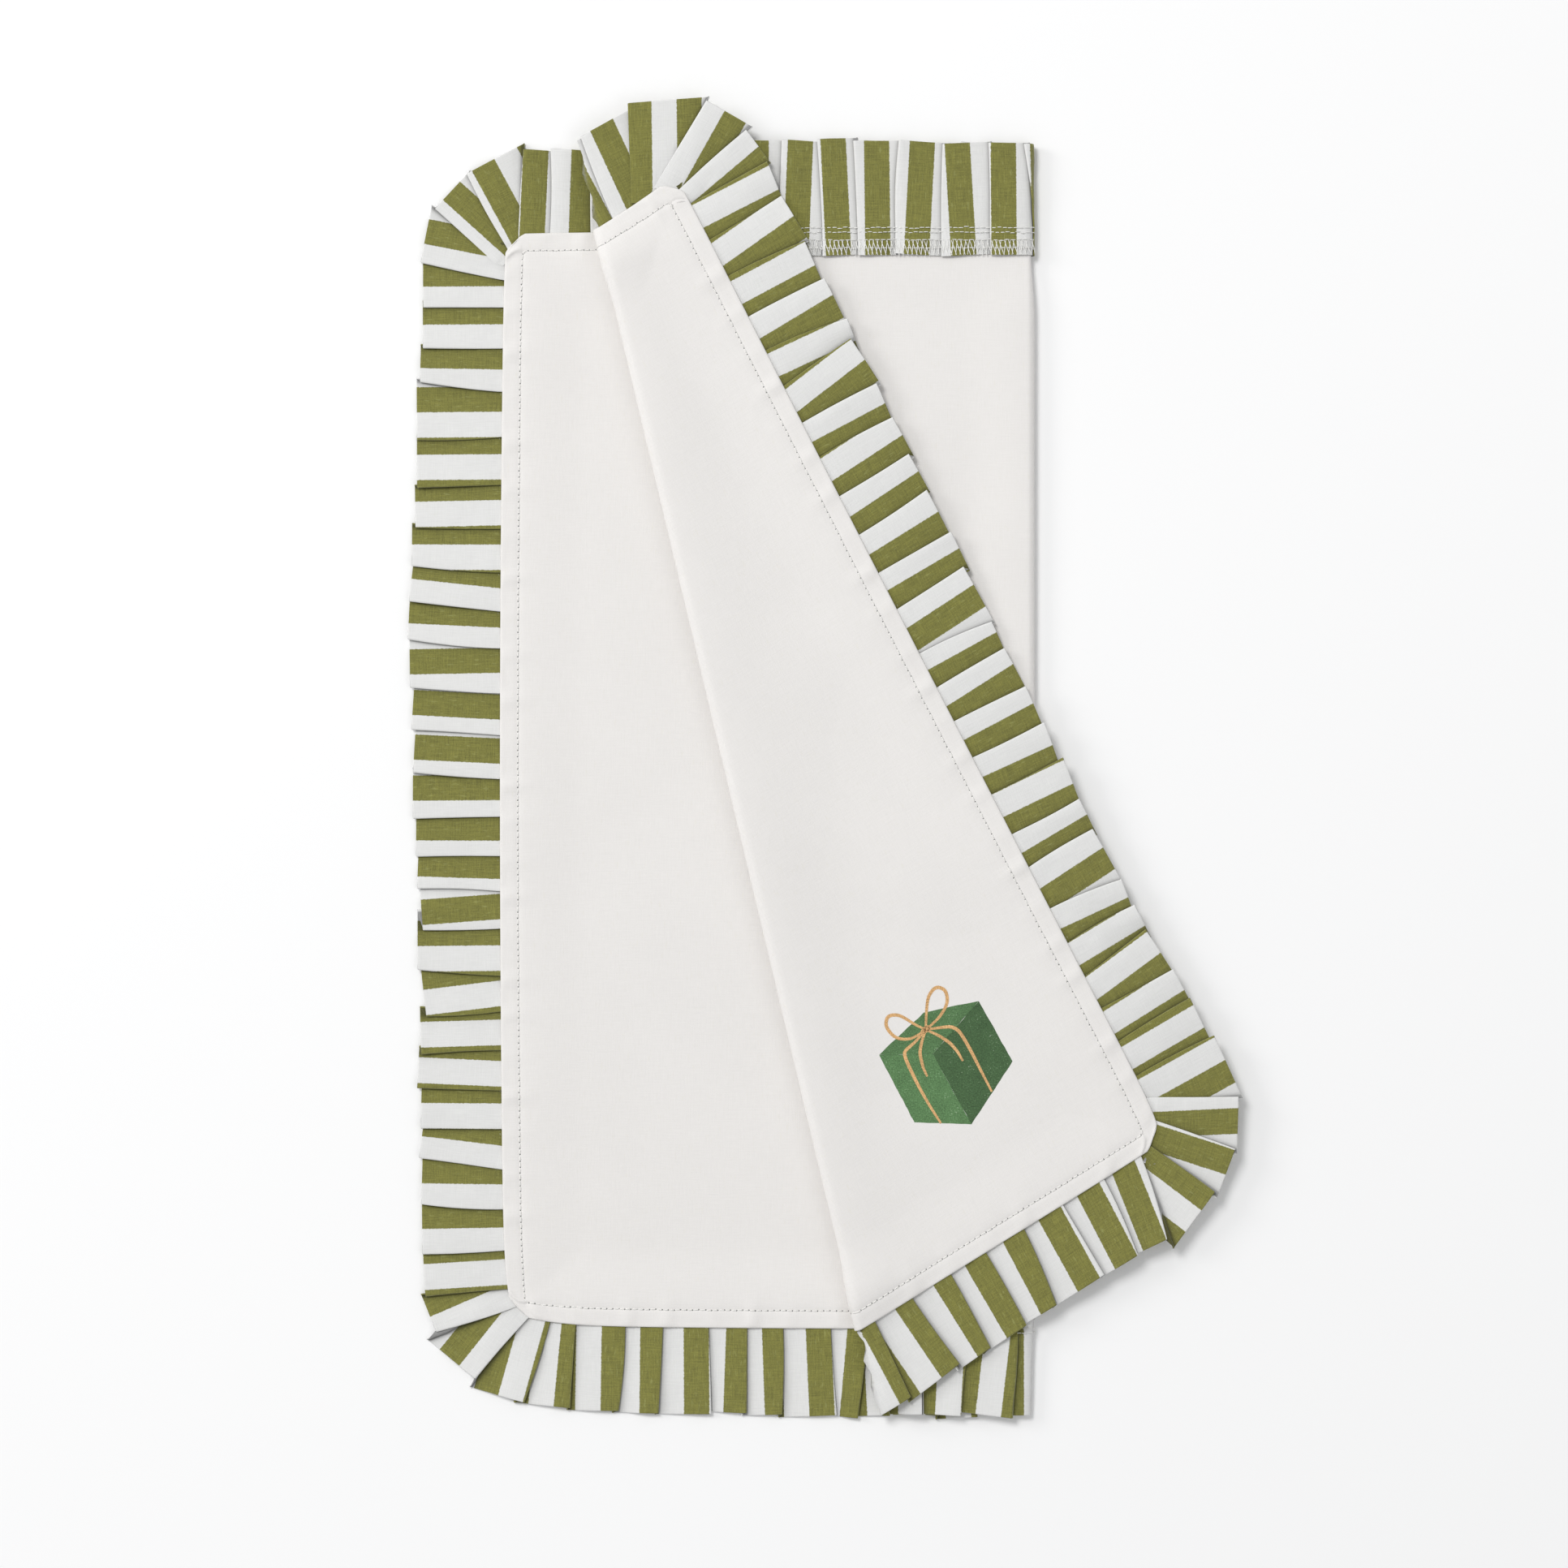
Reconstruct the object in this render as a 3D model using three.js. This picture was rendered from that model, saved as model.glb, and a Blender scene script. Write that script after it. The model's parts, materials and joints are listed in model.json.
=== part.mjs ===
// A cotton skirt cloth with a knife-pleated ruffle on its four sides, folded in half from right to left, with the
// free side of its upper half turned back along a slanting crease. Millimetres, +Z up.
//
// Every piece is drawn on the flat, open cloth, right side up: X runs from the left seam to the right seam, Y from
// the bottom seam to the top seam, and Z = 0 is the cloth's wrong side. Nested groups then make the two folds.
import * as THREE from "three";

// Cloth and ruffle, measured from seam to seam
const PANEL_WIDTH = 522;
const PANEL_HEIGHT = 538;
const CORNER_CUT = 8; // each leg of the cut across a corner
const RUFFLE_WIDTH = 42;
const PLEAT_PITCH = 20.5; // from one pleat's fold to the next
const CORNER_PLEATS = 5;
const STRIP_JOIN_HEIGHT = 209; // from the bottom seam to the ruffle's lapped join on the left side

// Seam edge
const HEM_DEPTH = 9.2; // the thick edge where the seam allowances lie together
const OVERLOCK_WIDTH = 3; // the thread that binds their raw edge
const STITCH_INSET = 8.5; // from the seam to the middle of the topstitching
const THREAD_WIDTH = 0.6;
const THREAD_HEIGHT = 0.4;

// Thicknesses. A pleat rises from PLEAT_LOW, where it comes out from under its neighbour, to PLEAT_HIGH at its fold.
const PANEL_THICKNESS = 0.8;
const HEM_THICKNESS = 1.6;
const OVERLOCK_THICKNESS = 1.2;
const PLEAT_LOW = 1.6;
const PLEAT_HIGH = 3.6;

// Folds
const CREASE_INSET_TOP = 46; // from the free side's seam to the crease, at the top seam
const CREASE_INSET_BOTTOM = 174; // the same at the bottom seam
const CREASE_SLIP = 0.086; // how far the turned side slips up along its crease, for each mm away from it
const FOLD_GAP = 1.5; // cloth taken up by the bend, on each side of a fold line
const HALF_FOLD_ANGLE = Math.PI;
const TURN_BACK_ANGLE = Math.PI;

const CLEARANCE = 0.3; // between neighbouring pieces
const LAYER_GAP = 0.4; // between one folded layer and the next

const COTTON = { color: 0xece8e2, roughness: 0.9, metalness: 0 };
const STRIPED_COTTON = { color: 0x7c8644, roughness: 0.85, metalness: 0 };
const THREAD = { color: 0xf4f2ee, roughness: 0.7, metalness: 0 };

const HALF_FOLD_X = PANEL_WIDTH / 2;
const HALF_FOLD_Z = PLEAT_HIGH + LAYER_GAP / 2;
const TURN_BACK_Z = -LAYER_GAP / 2;
const OVERLOCK_INSET = HEM_DEPTH + CLEARANCE;
const PANEL_INSET = OVERLOCK_INSET + OVERLOCK_WIDTH + CLEARANCE;

// The crease runs from the bottom seam to the top seam; CREASE_ACROSS points over it to the free side.
const CREASE_FOOT = new THREE.Vector3(PANEL_WIDTH - CREASE_INSET_BOTTOM, 0, 0);
const CREASE_UP = new THREE.Vector3(CREASE_INSET_BOTTOM - CREASE_INSET_TOP, PANEL_HEIGHT, 0).normalize();
const CREASE_ACROSS = new THREE.Vector3(CREASE_UP.y, -CREASE_UP.x, 0);

// Where each part of the cloth ends at a fold, at height y
const edgeBeforeHalfFold = () => HALF_FOLD_X - FOLD_GAP;
const edgeAfterHalfFold = () => HALF_FOLD_X + FOLD_GAP;
const creaseX = (y) => CREASE_FOOT.x + (y * CREASE_UP.x) / CREASE_UP.y;
const edgeBeforeCrease = (y) => creaseX(y) - FOLD_GAP / CREASE_UP.y;
const edgeAfterCrease = (y) => creaseX(y) + FOLD_GAP / CREASE_UP.y;

// ---- Outlines on the flat cloth ------------------------------------------------------------------------------------
// side is -1 for the left and 1 for the right, end is -1 for the bottom and 1 for the top.

const sideX = (side, inset) => (side < 0 ? inset : PANEL_WIDTH - inset);
const endY = (end, inset) => (end < 0 ? inset : PANEL_HEIGHT - inset);

// The two points of a cut corner on an outline that runs this far inside the seam: on the side, then on the end
function cutCorner(side, end, inset) {
  const cut = Math.max(0.1, CORNER_CUT - inset * (2 - Math.SQRT2));
  return [
    [sideX(side, inset), endY(end, inset) - end * cut],
    [sideX(side, inset) - side * cut, endY(end, inset)],
  ];
}

// A path round one side of the cloth, from the bottom to the top, ending where edgeAt says
function pathRound(side, edgeAt, inset) {
  const [low, high] = [endY(-1, inset), endY(1, inset)];
  return [
    [edgeAt(low), low],
    ...cutCorner(side, -1, inset).reverse(),
    ...cutCorner(side, 1, inset),
    [edgeAt(high), high],
  ];
}

const bandRound = (side, edgeAt, from, to) => [
  ...pathRound(side, edgeAt, from),
  ...pathRound(side, edgeAt, to).reverse(),
];

// A band along one end, from startAt to stopAt
function bandAlong(end, startAt, stopAt, from, to) {
  const [outer, inner] = [endY(end, from), endY(end, to)];
  return [
    [startAt(outer), outer],
    [stopAt(outer), outer],
    [stopAt(inner), inner],
    [startAt(inner), inner],
  ];
}

// The middle of a corner's cut and the corner of the hem's inner edge, where a side's hem meets an end's hem
const mitre = (side, end) => [
  [sideX(side, CORNER_CUT / 2), endY(end, CORNER_CUT / 2)],
  [sideX(side, HEM_DEPTH), endY(end, HEM_DEPTH)],
];

// A side's hem stops CLEARANCE short of each mitre.
function sideHem(side) {
  const back = ([x, y], end) => [x, y - end * CLEARANCE];
  const half = (end) => {
    const [middle, inner] = mitre(side, end);
    return [[sideX(side, 0), endY(end, CORNER_CUT)], middle, inner].map((point) => back(point, end));
  };
  return [...half(-1), ...half(1).reverse()];
}

// An end's hem runs from a corner's mitre to a fold.
function endHem(side, end, edgeAt) {
  const [middle, inner] = mitre(side, end);
  return [
    [edgeAt(endY(end, 0)), endY(end, 0)],
    [sideX(side, CORNER_CUT), endY(end, 0)],
    middle,
    inner,
    [edgeAt(inner[1]), inner[1]],
  ];
}

// ---- Solids --------------------------------------------------------------------------------------------------------

function plate(outline, bottom, thickness) {
  const shape = new THREE.Shape(outline.map(([x, y]) => new THREE.Vector2(x, y)));
  return new THREE.ExtrudeGeometry(shape, { depth: thickness, bevelEnabled: false }).translate(0, 0, bottom);
}

// A length of ruffle. Each fold line is a pair of points, [at the seam, at the outer edge], and they go round the
// cloth counter-clockwise. Each pleat rises from one line to the next and drops there onto the pleat after it.
function pleats(foldLines) {
  const corners = [];
  const triangle = (...points) => points.forEach((point) => corners.push(...point));
  const polygon = (...points) => {
    for (let i = 1; i + 1 < points.length; i++) triangle(points[0], points[i], points[i + 1]);
  };
  const at = ([x, y], z) => [x, y, z];
  const last = foldLines.length - 1;
  for (let i = 0; i < last; i++) {
    const [seam, edge] = foldLines[i];
    const [nextSeam, nextEdge] = foldLines[i + 1];
    const highSeam = at(nextSeam, PLEAT_HIGH);
    const highEdge = at(nextEdge, PLEAT_HIGH);
    polygon(at(seam, PLEAT_LOW), at(edge, PLEAT_LOW), highEdge, highSeam);
    polygon(at(seam, 0), at(nextSeam, 0), at(nextEdge, 0), at(edge, 0));
    const seamDrop = i + 1 < last ? [at(nextSeam, PLEAT_LOW)] : [];
    const edgeDrop = i + 1 < last ? [at(nextEdge, PLEAT_LOW)] : [];
    polygon(at(seam, 0), at(seam, PLEAT_LOW), highSeam, ...seamDrop, at(nextSeam, 0));
    polygon(at(edge, 0), at(nextEdge, 0), ...edgeDrop, highEdge, at(edge, PLEAT_LOW));
    if (i + 1 < last) polygon(seamDrop[0], highSeam, highEdge, edgeDrop[0]);
  }
  const [firstSeam, firstEdge] = foldLines[0];
  const [lastSeam, lastEdge] = foldLines[last];
  polygon(at(firstSeam, 0), at(firstEdge, 0), at(firstEdge, PLEAT_LOW), at(firstSeam, PLEAT_LOW));
  polygon(at(lastSeam, 0), at(lastSeam, PLEAT_HIGH), at(lastEdge, PLEAT_HIGH), at(lastEdge, 0));
  const geometry = new THREE.BufferGeometry();
  geometry.setAttribute("position", new THREE.Float32BufferAttribute(corners, 3));
  geometry.computeVertexNormals();
  return geometry;
}

const between = ([ax, ay], [bx, by], t) => [ax + t * (bx - ax), ay + t * (by - ay)];

// A straight length of ruffle from one fold line to another
function straightRuffle(first, last) {
  const length = Math.hypot(last[0][0] - first[0][0], last[0][1] - first[0][1]);
  const count = Math.max(1, Math.round(length / PLEAT_PITCH));
  const lines = [];
  for (let i = 0; i <= count; i++) lines.push([0, 1].map((k) => between(first[k], last[k], i / count)));
  return pleats(lines);
}

// The fold line across the ruffle of one end at a fold, or of a corner's end
const lineAtFold = (end, edgeAt) =>
  [-CLEARANCE, -RUFFLE_WIDTH].map((inset) => [edgeAt(endY(end, inset)), endY(end, inset)]);
const lineAtX = (end, x) => lineAtFold(end, () => x);
const lineAtY = (side, y) => [-CLEARANCE, -RUFFLE_WIDTH].map((inset) => [sideX(side, inset), y]);

// The straight ruffle of a side or an end starts and stops this far from the corner of the seams.
const RUFFLE_START = CORNER_CUT + CLEARANCE;

// The fan of pleats round a corner. Its fold lines turn from the first direction by a quarter, counter-clockwise.
function cornerRuffle(side, end) {
  const [onSide, onEnd] = cutCorner(side, end, 0);
  const [first, last] = side * end > 0 ? [onSide, onEnd] : [onEnd, onSide];
  const start = Math.atan2(side * end > 0 ? 0 : end, side * end > 0 ? side : 0);
  const lines = [];
  for (let i = 0; i <= CORNER_PLEATS; i++) {
    const t = i / CORNER_PLEATS;
    const angle = start + (t * Math.PI) / 2;
    const out = (reach) => {
      const [x, y] = between(first, last, t);
      return [x + reach * Math.cos(angle), y + reach * Math.sin(angle)];
    };
    lines.push([out(CLEARANCE), out(RUFFLE_WIDTH)]);
  }
  return pleats(lines);
}

// The cloth beyond the crease slips along it as it is turned back, more the further it is from the crease.
function slipped(geometry) {
  const place = geometry.getAttribute("position");
  const point = new THREE.Vector3();
  for (let i = 0; i < place.count; i++) {
    point.fromBufferAttribute(place, i);
    const away = point.clone().sub(CREASE_FOOT).dot(CREASE_ACROSS);
    point.addScaledVector(CREASE_UP, CREASE_SLIP * away);
    place.setXYZ(i, point.x, point.y, point.z);
  }
  return geometry;
}

// ---- Pieces --------------------------------------------------------------------------------------------------------

function piece(name, geometry, material) {
  const mesh = new THREE.Mesh(geometry, new THREE.MeshStandardMaterial(material));
  mesh.name = name;
  return mesh;
}
const hem = (name, outline) => piece(`hem_${name}`, plate(outline, 0, HEM_THICKNESS), COTTON);
const ruffle = (name, geometry) => piece(`ruffle_${name}`, geometry, STRIPED_COTTON);
const stitching = (name, outline) =>
  piece(`topstitch_${name}`, plate(outline, HEM_THICKNESS + CLEARANCE, THREAD_HEIGHT), THREAD);
const overlock = (name, outline) => piece(`overlock_${name}`, plate(outline, 0, OVERLOCK_THICKNESS), THREAD);

const STITCH_BAND = [STITCH_INSET - THREAD_WIDTH / 2, STITCH_INSET + THREAD_WIDTH / 2];
const OVERLOCK_BAND = [OVERLOCK_INSET, OVERLOCK_INSET + OVERLOCK_WIDTH];

// The left half, which lies at the bottom
function basePieces() {
  const edge = edgeBeforeHalfFold;
  const panel = pathRound(-1, edge, PANEL_INSET);
  return [
    piece("panel_base", plate(panel, 0, PANEL_THICKNESS), COTTON),
    hem("left", sideHem(-1)),
    hem("top_base", endHem(-1, 1, edge)),
    hem("bottom_base", endHem(-1, -1, edge)),
    overlock("base", bandRound(-1, edge, ...OVERLOCK_BAND)),
    stitching("base", bandRound(-1, edge, ...STITCH_BAND)),
    ruffle("top_base", straightRuffle(lineAtFold(1, edge), lineAtX(1, RUFFLE_START))),
    ruffle("corner_top_left", cornerRuffle(-1, 1)),
    ruffle(
      "left_above_join",
      straightRuffle(lineAtY(-1, PANEL_HEIGHT - RUFFLE_START), lineAtY(-1, STRIP_JOIN_HEIGHT + CLEARANCE)),
    ),
    ruffle("left_below_join", straightRuffle(lineAtY(-1, STRIP_JOIN_HEIGHT), lineAtY(-1, RUFFLE_START))),
    ruffle("corner_bottom_left", cornerRuffle(-1, -1)),
    ruffle("bottom_base", straightRuffle(lineAtX(-1, RUFFLE_START), lineAtFold(-1, edge))),
  ];
}

// The part between the half fold and the crease
function foldedOverPieces() {
  const [near, far] = [edgeAfterHalfFold, edgeBeforeCrease];
  const across = (end, band) => bandAlong(end, near, far, ...band);
  const panel = [
    ...bandAlong(-1, near, far, PANEL_INSET, PANEL_INSET).slice(0, 2),
    ...bandAlong(1, near, far, PANEL_INSET, PANEL_INSET).slice(0, 2).reverse(),
  ];
  return [
    piece("panel_folded_over", plate(panel, 0, PANEL_THICKNESS), COTTON),
    hem("top_folded_over", across(1, [0, HEM_DEPTH])),
    hem("bottom_folded_over", across(-1, [0, HEM_DEPTH])),
    overlock("top_folded_over", across(1, OVERLOCK_BAND)),
    overlock("bottom_folded_over", across(-1, OVERLOCK_BAND)),
    stitching("top_folded_over", across(1, STITCH_BAND)),
    stitching("bottom_folded_over", across(-1, STITCH_BAND)),
    ruffle("top_folded_over", straightRuffle(lineAtFold(1, far), lineAtFold(1, near))),
    ruffle("bottom_folded_over", straightRuffle(lineAtFold(-1, near), lineAtFold(-1, far))),
  ];
}

// The free side, beyond the crease
function turnedBackPieces() {
  const edge = edgeAfterCrease;
  const rightX = PANEL_WIDTH - RUFFLE_START;
  const pieces = [
    piece("panel_turned_back", plate(pathRound(1, edge, PANEL_INSET), 0, PANEL_THICKNESS), COTTON),
    hem("side_turned_back", sideHem(1)),
    hem("top_turned_back", endHem(1, 1, edge)),
    hem("bottom_turned_back", endHem(1, -1, edge)),
    overlock("turned_back", bandRound(1, edge, ...OVERLOCK_BAND)),
    stitching("turned_back", bandRound(1, edge, ...STITCH_BAND)),
    ruffle("bottom_turned_back", straightRuffle(lineAtFold(-1, edge), lineAtX(-1, rightX))),
    ruffle("corner_bottom_turned_back", cornerRuffle(1, -1)),
    ruffle("side_turned_back", straightRuffle(lineAtY(1, RUFFLE_START), lineAtY(1, PANEL_HEIGHT - RUFFLE_START))),
    ruffle("corner_top_turned_back", cornerRuffle(1, 1)),
    ruffle("top_turned_back", straightRuffle(lineAtX(1, rightX), lineAtFold(1, edge))),
  ];
  pieces.forEach((mesh) => slipped(mesh.geometry));
  return pieces;
}

// ---- Folding -------------------------------------------------------------------------------------------------------

// A group that turns its pieces about a line through a point of the flat cloth
function folded(pivot, axis, angle, pieces) {
  const pieceHolder = new THREE.Group().add(...pieces);
  pieceHolder.position.copy(pivot).negate();
  const turn = new THREE.Group().add(pieceHolder);
  turn.position.copy(pivot);
  turn.quaternion.setFromAxisAngle(axis, angle);
  return turn;
}

const turnedBack = folded(
  CREASE_FOOT.clone().setZ(TURN_BACK_Z),
  CREASE_UP,
  TURN_BACK_ANGLE,
  turnedBackPieces(),
);
const foldedOver = folded(
  new THREE.Vector3(HALF_FOLD_X, 0, HALF_FOLD_Z),
  new THREE.Vector3(0, -1, 0),
  HALF_FOLD_ANGLE,
  [...foldedOverPieces(), turnedBack],
);

// The origin is at the middle of the folded cloth's box, on the surface it lies on.
const skirt = new THREE.Group().add(...basePieces(), foldedOver);
skirt.updateMatrixWorld(true);
const middle = new THREE.Box3().setFromObject(skirt, true).getCenter(new THREE.Vector3());
skirt.position.set(-middle.x, -middle.y, 0);

export default skirt;
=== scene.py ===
"""A square cotton cover with a striped pleated ruffle, folded in half and with one side turned back."""

import json
import math

import bpy
import numpy as np
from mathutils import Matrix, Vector
from mathutils.bvhtree import BVHTree


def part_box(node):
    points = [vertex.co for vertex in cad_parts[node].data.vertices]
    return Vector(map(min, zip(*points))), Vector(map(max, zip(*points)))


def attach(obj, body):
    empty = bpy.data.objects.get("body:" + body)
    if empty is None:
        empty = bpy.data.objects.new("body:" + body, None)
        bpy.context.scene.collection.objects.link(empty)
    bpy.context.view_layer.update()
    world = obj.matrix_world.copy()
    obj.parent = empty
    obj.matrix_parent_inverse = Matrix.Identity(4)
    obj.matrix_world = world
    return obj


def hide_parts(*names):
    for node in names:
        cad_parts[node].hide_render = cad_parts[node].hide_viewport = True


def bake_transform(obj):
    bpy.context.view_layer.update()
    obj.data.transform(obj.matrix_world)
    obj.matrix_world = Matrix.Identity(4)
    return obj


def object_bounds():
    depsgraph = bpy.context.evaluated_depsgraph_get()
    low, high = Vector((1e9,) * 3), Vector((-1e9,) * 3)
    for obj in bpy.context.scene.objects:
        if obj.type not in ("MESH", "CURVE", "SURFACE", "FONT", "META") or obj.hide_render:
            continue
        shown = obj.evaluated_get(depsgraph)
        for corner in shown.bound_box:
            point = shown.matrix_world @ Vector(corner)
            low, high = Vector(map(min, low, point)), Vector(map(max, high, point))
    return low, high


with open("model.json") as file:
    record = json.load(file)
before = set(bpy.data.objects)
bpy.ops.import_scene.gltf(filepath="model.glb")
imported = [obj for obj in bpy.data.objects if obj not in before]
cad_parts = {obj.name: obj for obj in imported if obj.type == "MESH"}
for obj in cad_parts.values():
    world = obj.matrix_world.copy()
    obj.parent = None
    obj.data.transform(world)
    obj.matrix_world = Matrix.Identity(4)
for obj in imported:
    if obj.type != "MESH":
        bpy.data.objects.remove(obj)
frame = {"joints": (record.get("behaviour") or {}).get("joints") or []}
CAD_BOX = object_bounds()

bl_info = {
    "name": "Folded cotton cover with a pleated ruffle",
    "version": (1, 0, 0),
    "blender": (4, 5, 0),
    "location": "View3D > Sidebar > Cover",
    "description": "Builds the folded cover, its pleated ruffle, seams and print on the packed frame",
    "category": "Object",
}

MM = 0.001
FULL_TURN = 2 * math.pi
JOINTS = {joint["name"]: joint for joint in frame["joints"]}

# The tallest that the ruffle stands in one layer, and where it starts to be pressed, in millimetres.
PLEAT_LIMIT = 3.0
PLEAT_FREE = 2.2

# Distance between every second thread of the two cottons, in millimetres, and how much the painted tuck
# shade darkens the cloth.
PANEL_THREAD = 0.62
STRIP_THREAD = 0.55
TUCK_SHADE = 0.62


# ---------------------------------------------------------------- sizes and colours


def millimetres(name, what, default, least, most):
    """A length setting in millimetres."""
    return bpy.props.FloatProperty(
        name=name, description=what + ", in millimetres", default=default, min=least, max=most,
    )


def colour_setting(name, what, red, green, blue):
    """A colour setting."""
    return bpy.props.FloatVectorProperty(
        name=name, description=what, default=(red, green, blue), subtype="COLOR",
        size=3, min=0.0, max=1.0,
    )


def power(name, what, default, most):
    """A light setting, from nothing to most."""
    return bpy.props.FloatProperty(name=name, description=what, default=default, min=0.0, max=most)


def metres(name, what, default, least, most):
    """A camera setting in metres."""
    return bpy.props.FloatProperty(
        name=name, description=what, default=default, min=least, max=most, unit="LENGTH",
    )


class CoverSizes(bpy.types.PropertyGroup):
    """Sizes of the cloth, its pleats and its stitching, in millimetres."""

    cloth_thickness: millimetres("Cloth thickness", "Thickness of the plain cotton", 0.42, 0.2, 1.0)
    hem_height: millimetres("Hem height", "Height of the panel above its seam allowances", 2.05, 1.0, 2.4)
    pleat_pitch: millimetres("Pleat pitch", "Distance between neighbouring pleats", 20.4, 15.0, 30.0)
    stripe_width: millimetres("Stripe width", "Width of one stripe of the ruffle cloth", 12.5, 5.0, 25.0)
    allowance: millimetres("Seam allowance", "Cloth beyond the seam", 12.0, 8.0, 15.0)
    stitch_pitch: millimetres("Stitch pitch", "Length of one machine stitch", 3.06, 2.0, 5.0)
    topstitch_inset: millimetres("Topstitch inset", "Topstitch's distance from the seam", 8.4, 4.0, 11.0)
    crease_lift: millimetres("Crease lift", "How far the slanting crease stands up", 5.0, 0.5, 8.0)


class CoverColours(bpy.types.PropertyGroup):
    """Colours of the cloth, thread, print and floor."""

    cotton: colour_setting("Cotton", "Colour of the plain cotton", 0.815, 0.79, 0.765)
    stripe: colour_setting("Stripe", "Colour of the green stripe", 0.198, 0.192, 0.040)
    ground: colour_setting("Ground", "Colour of the white stripe", 0.765, 0.76, 0.745)
    thread: colour_setting("Thread", "Colour of the sewing thread", 0.82, 0.81, 0.78)
    box_light: colour_setting("Box light", "Lighter green of the printed box", 0.105, 0.215, 0.085)
    box_dark: colour_setting("Box dark", "Darker green of the printed box", 0.062, 0.125, 0.05)
    ribbon: colour_setting("Ribbon", "Peach of the printed ribbon", 0.66, 0.39, 0.17)
    floor: colour_setting("Floor", "Colour of the floor", 0.965, 0.96, 0.955)


class StageSizes(bpy.types.PropertyGroup):
    """Places of the camera and the strength of the lights."""

    camera_height: metres("Camera height", "Height of the camera above the floor", 2.147, 0.5, 5.0)
    camera_side: metres("Camera side", "Sideways place from the middle of the cover", -0.0226, -0.2, 0.2)
    camera_back: metres("Camera back", "Lengthways place from the middle of the cover", -0.0122, -0.2, 0.2)
    key_power: power("Key light", "Power of the soft light from the upper left, in watts", 92.0, 400.0)
    fill_power: power("Fill light", "Power of the fill light, in watts", 14.0, 400.0)
    side_power: power("Side light", "Power of the low light from the left, in watts", 120.0, 800.0)
    sky: power("Sky", "Strength of the even light all round", 0.475, 2.0)


# ---------------------------------------------------------------- small helpers


def smooth(t):
    """Goes from 0 to 1 with no corner, as t does."""
    t = np.clip(t, 0.0, 1.0)
    return t * t * (3 - 2 * t)


def ripple(x, y, seed, size, count=7):
    """Soft random waves about size long, from about -1 to 1."""
    rng = np.random.default_rng(seed)
    total = np.zeros(np.broadcast(x, y).shape)
    for _ in range(count):
        turn = rng.uniform(0, FULL_TURN)
        length = size * rng.uniform(0.7, 1.6)
        start = rng.uniform(0, FULL_TURN)
        step = (np.cos(turn) * x + np.sin(turn) * y) * FULL_TURN / length
        total = total + np.sin(step + start)
    return total / math.sqrt(count)


def uneven(rng, middle, spread, least, most, count):
    """Random values round a middle one, kept between two limits."""
    return np.clip(rng.normal(middle, spread, count), least, most)


def dip(gap, reach):
    """Bell shape: 1 where gap is 0, almost 0 at twice the reach."""
    return np.exp(-((gap / reach) ** 2))


def unit(v):
    """Vectors made one long."""
    return v / np.maximum(np.linalg.norm(v, axis=-1, keepdims=True), 1e-12)


def box_mm(node):
    """A CAD node's lowest and highest corner, in millimetres."""
    low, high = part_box(node)
    return np.array(low) / MM, np.array(high) / MM


def grid_faces(rows, columns, first=0, turned=False):
    """Four-cornered faces between neighbouring rows and columns of points."""
    i, j = np.meshgrid(np.arange(rows - 1), np.arange(columns - 1), indexing="ij")
    a = first + i * columns + j
    corners = [a, a + 1, a + 1 + columns, a + columns]
    if turned:
        corners = corners[::-1]
    return np.stack(corners, axis=-1).reshape(-1, 4)


def make_piece(name, points, faces, material, cloth=None):
    """A mesh object from points in millimetres, with the cloth's own coordinates kept on it; the ruffle
    keeps its painted shade there as the third value.
    """
    mesh = bpy.data.meshes.new(name)
    mesh.from_pydata((np.asarray(points) * MM).tolist(), [], np.asarray(faces).tolist())
    mesh.validate()
    mesh.shade_smooth()
    if cloth is not None:
        kept = mesh.attributes.new("cloth", "FLOAT_VECTOR", "POINT")
        kept.data.foreach_set("vector", np.asarray(cloth, np.float32).ravel())
    mesh.materials.append(material)
    piece = bpy.data.objects.new(name, mesh)
    bpy.context.scene.collection.objects.link(piece)
    return piece


# ---------------------------------------------------------------- the folded cover


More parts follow.
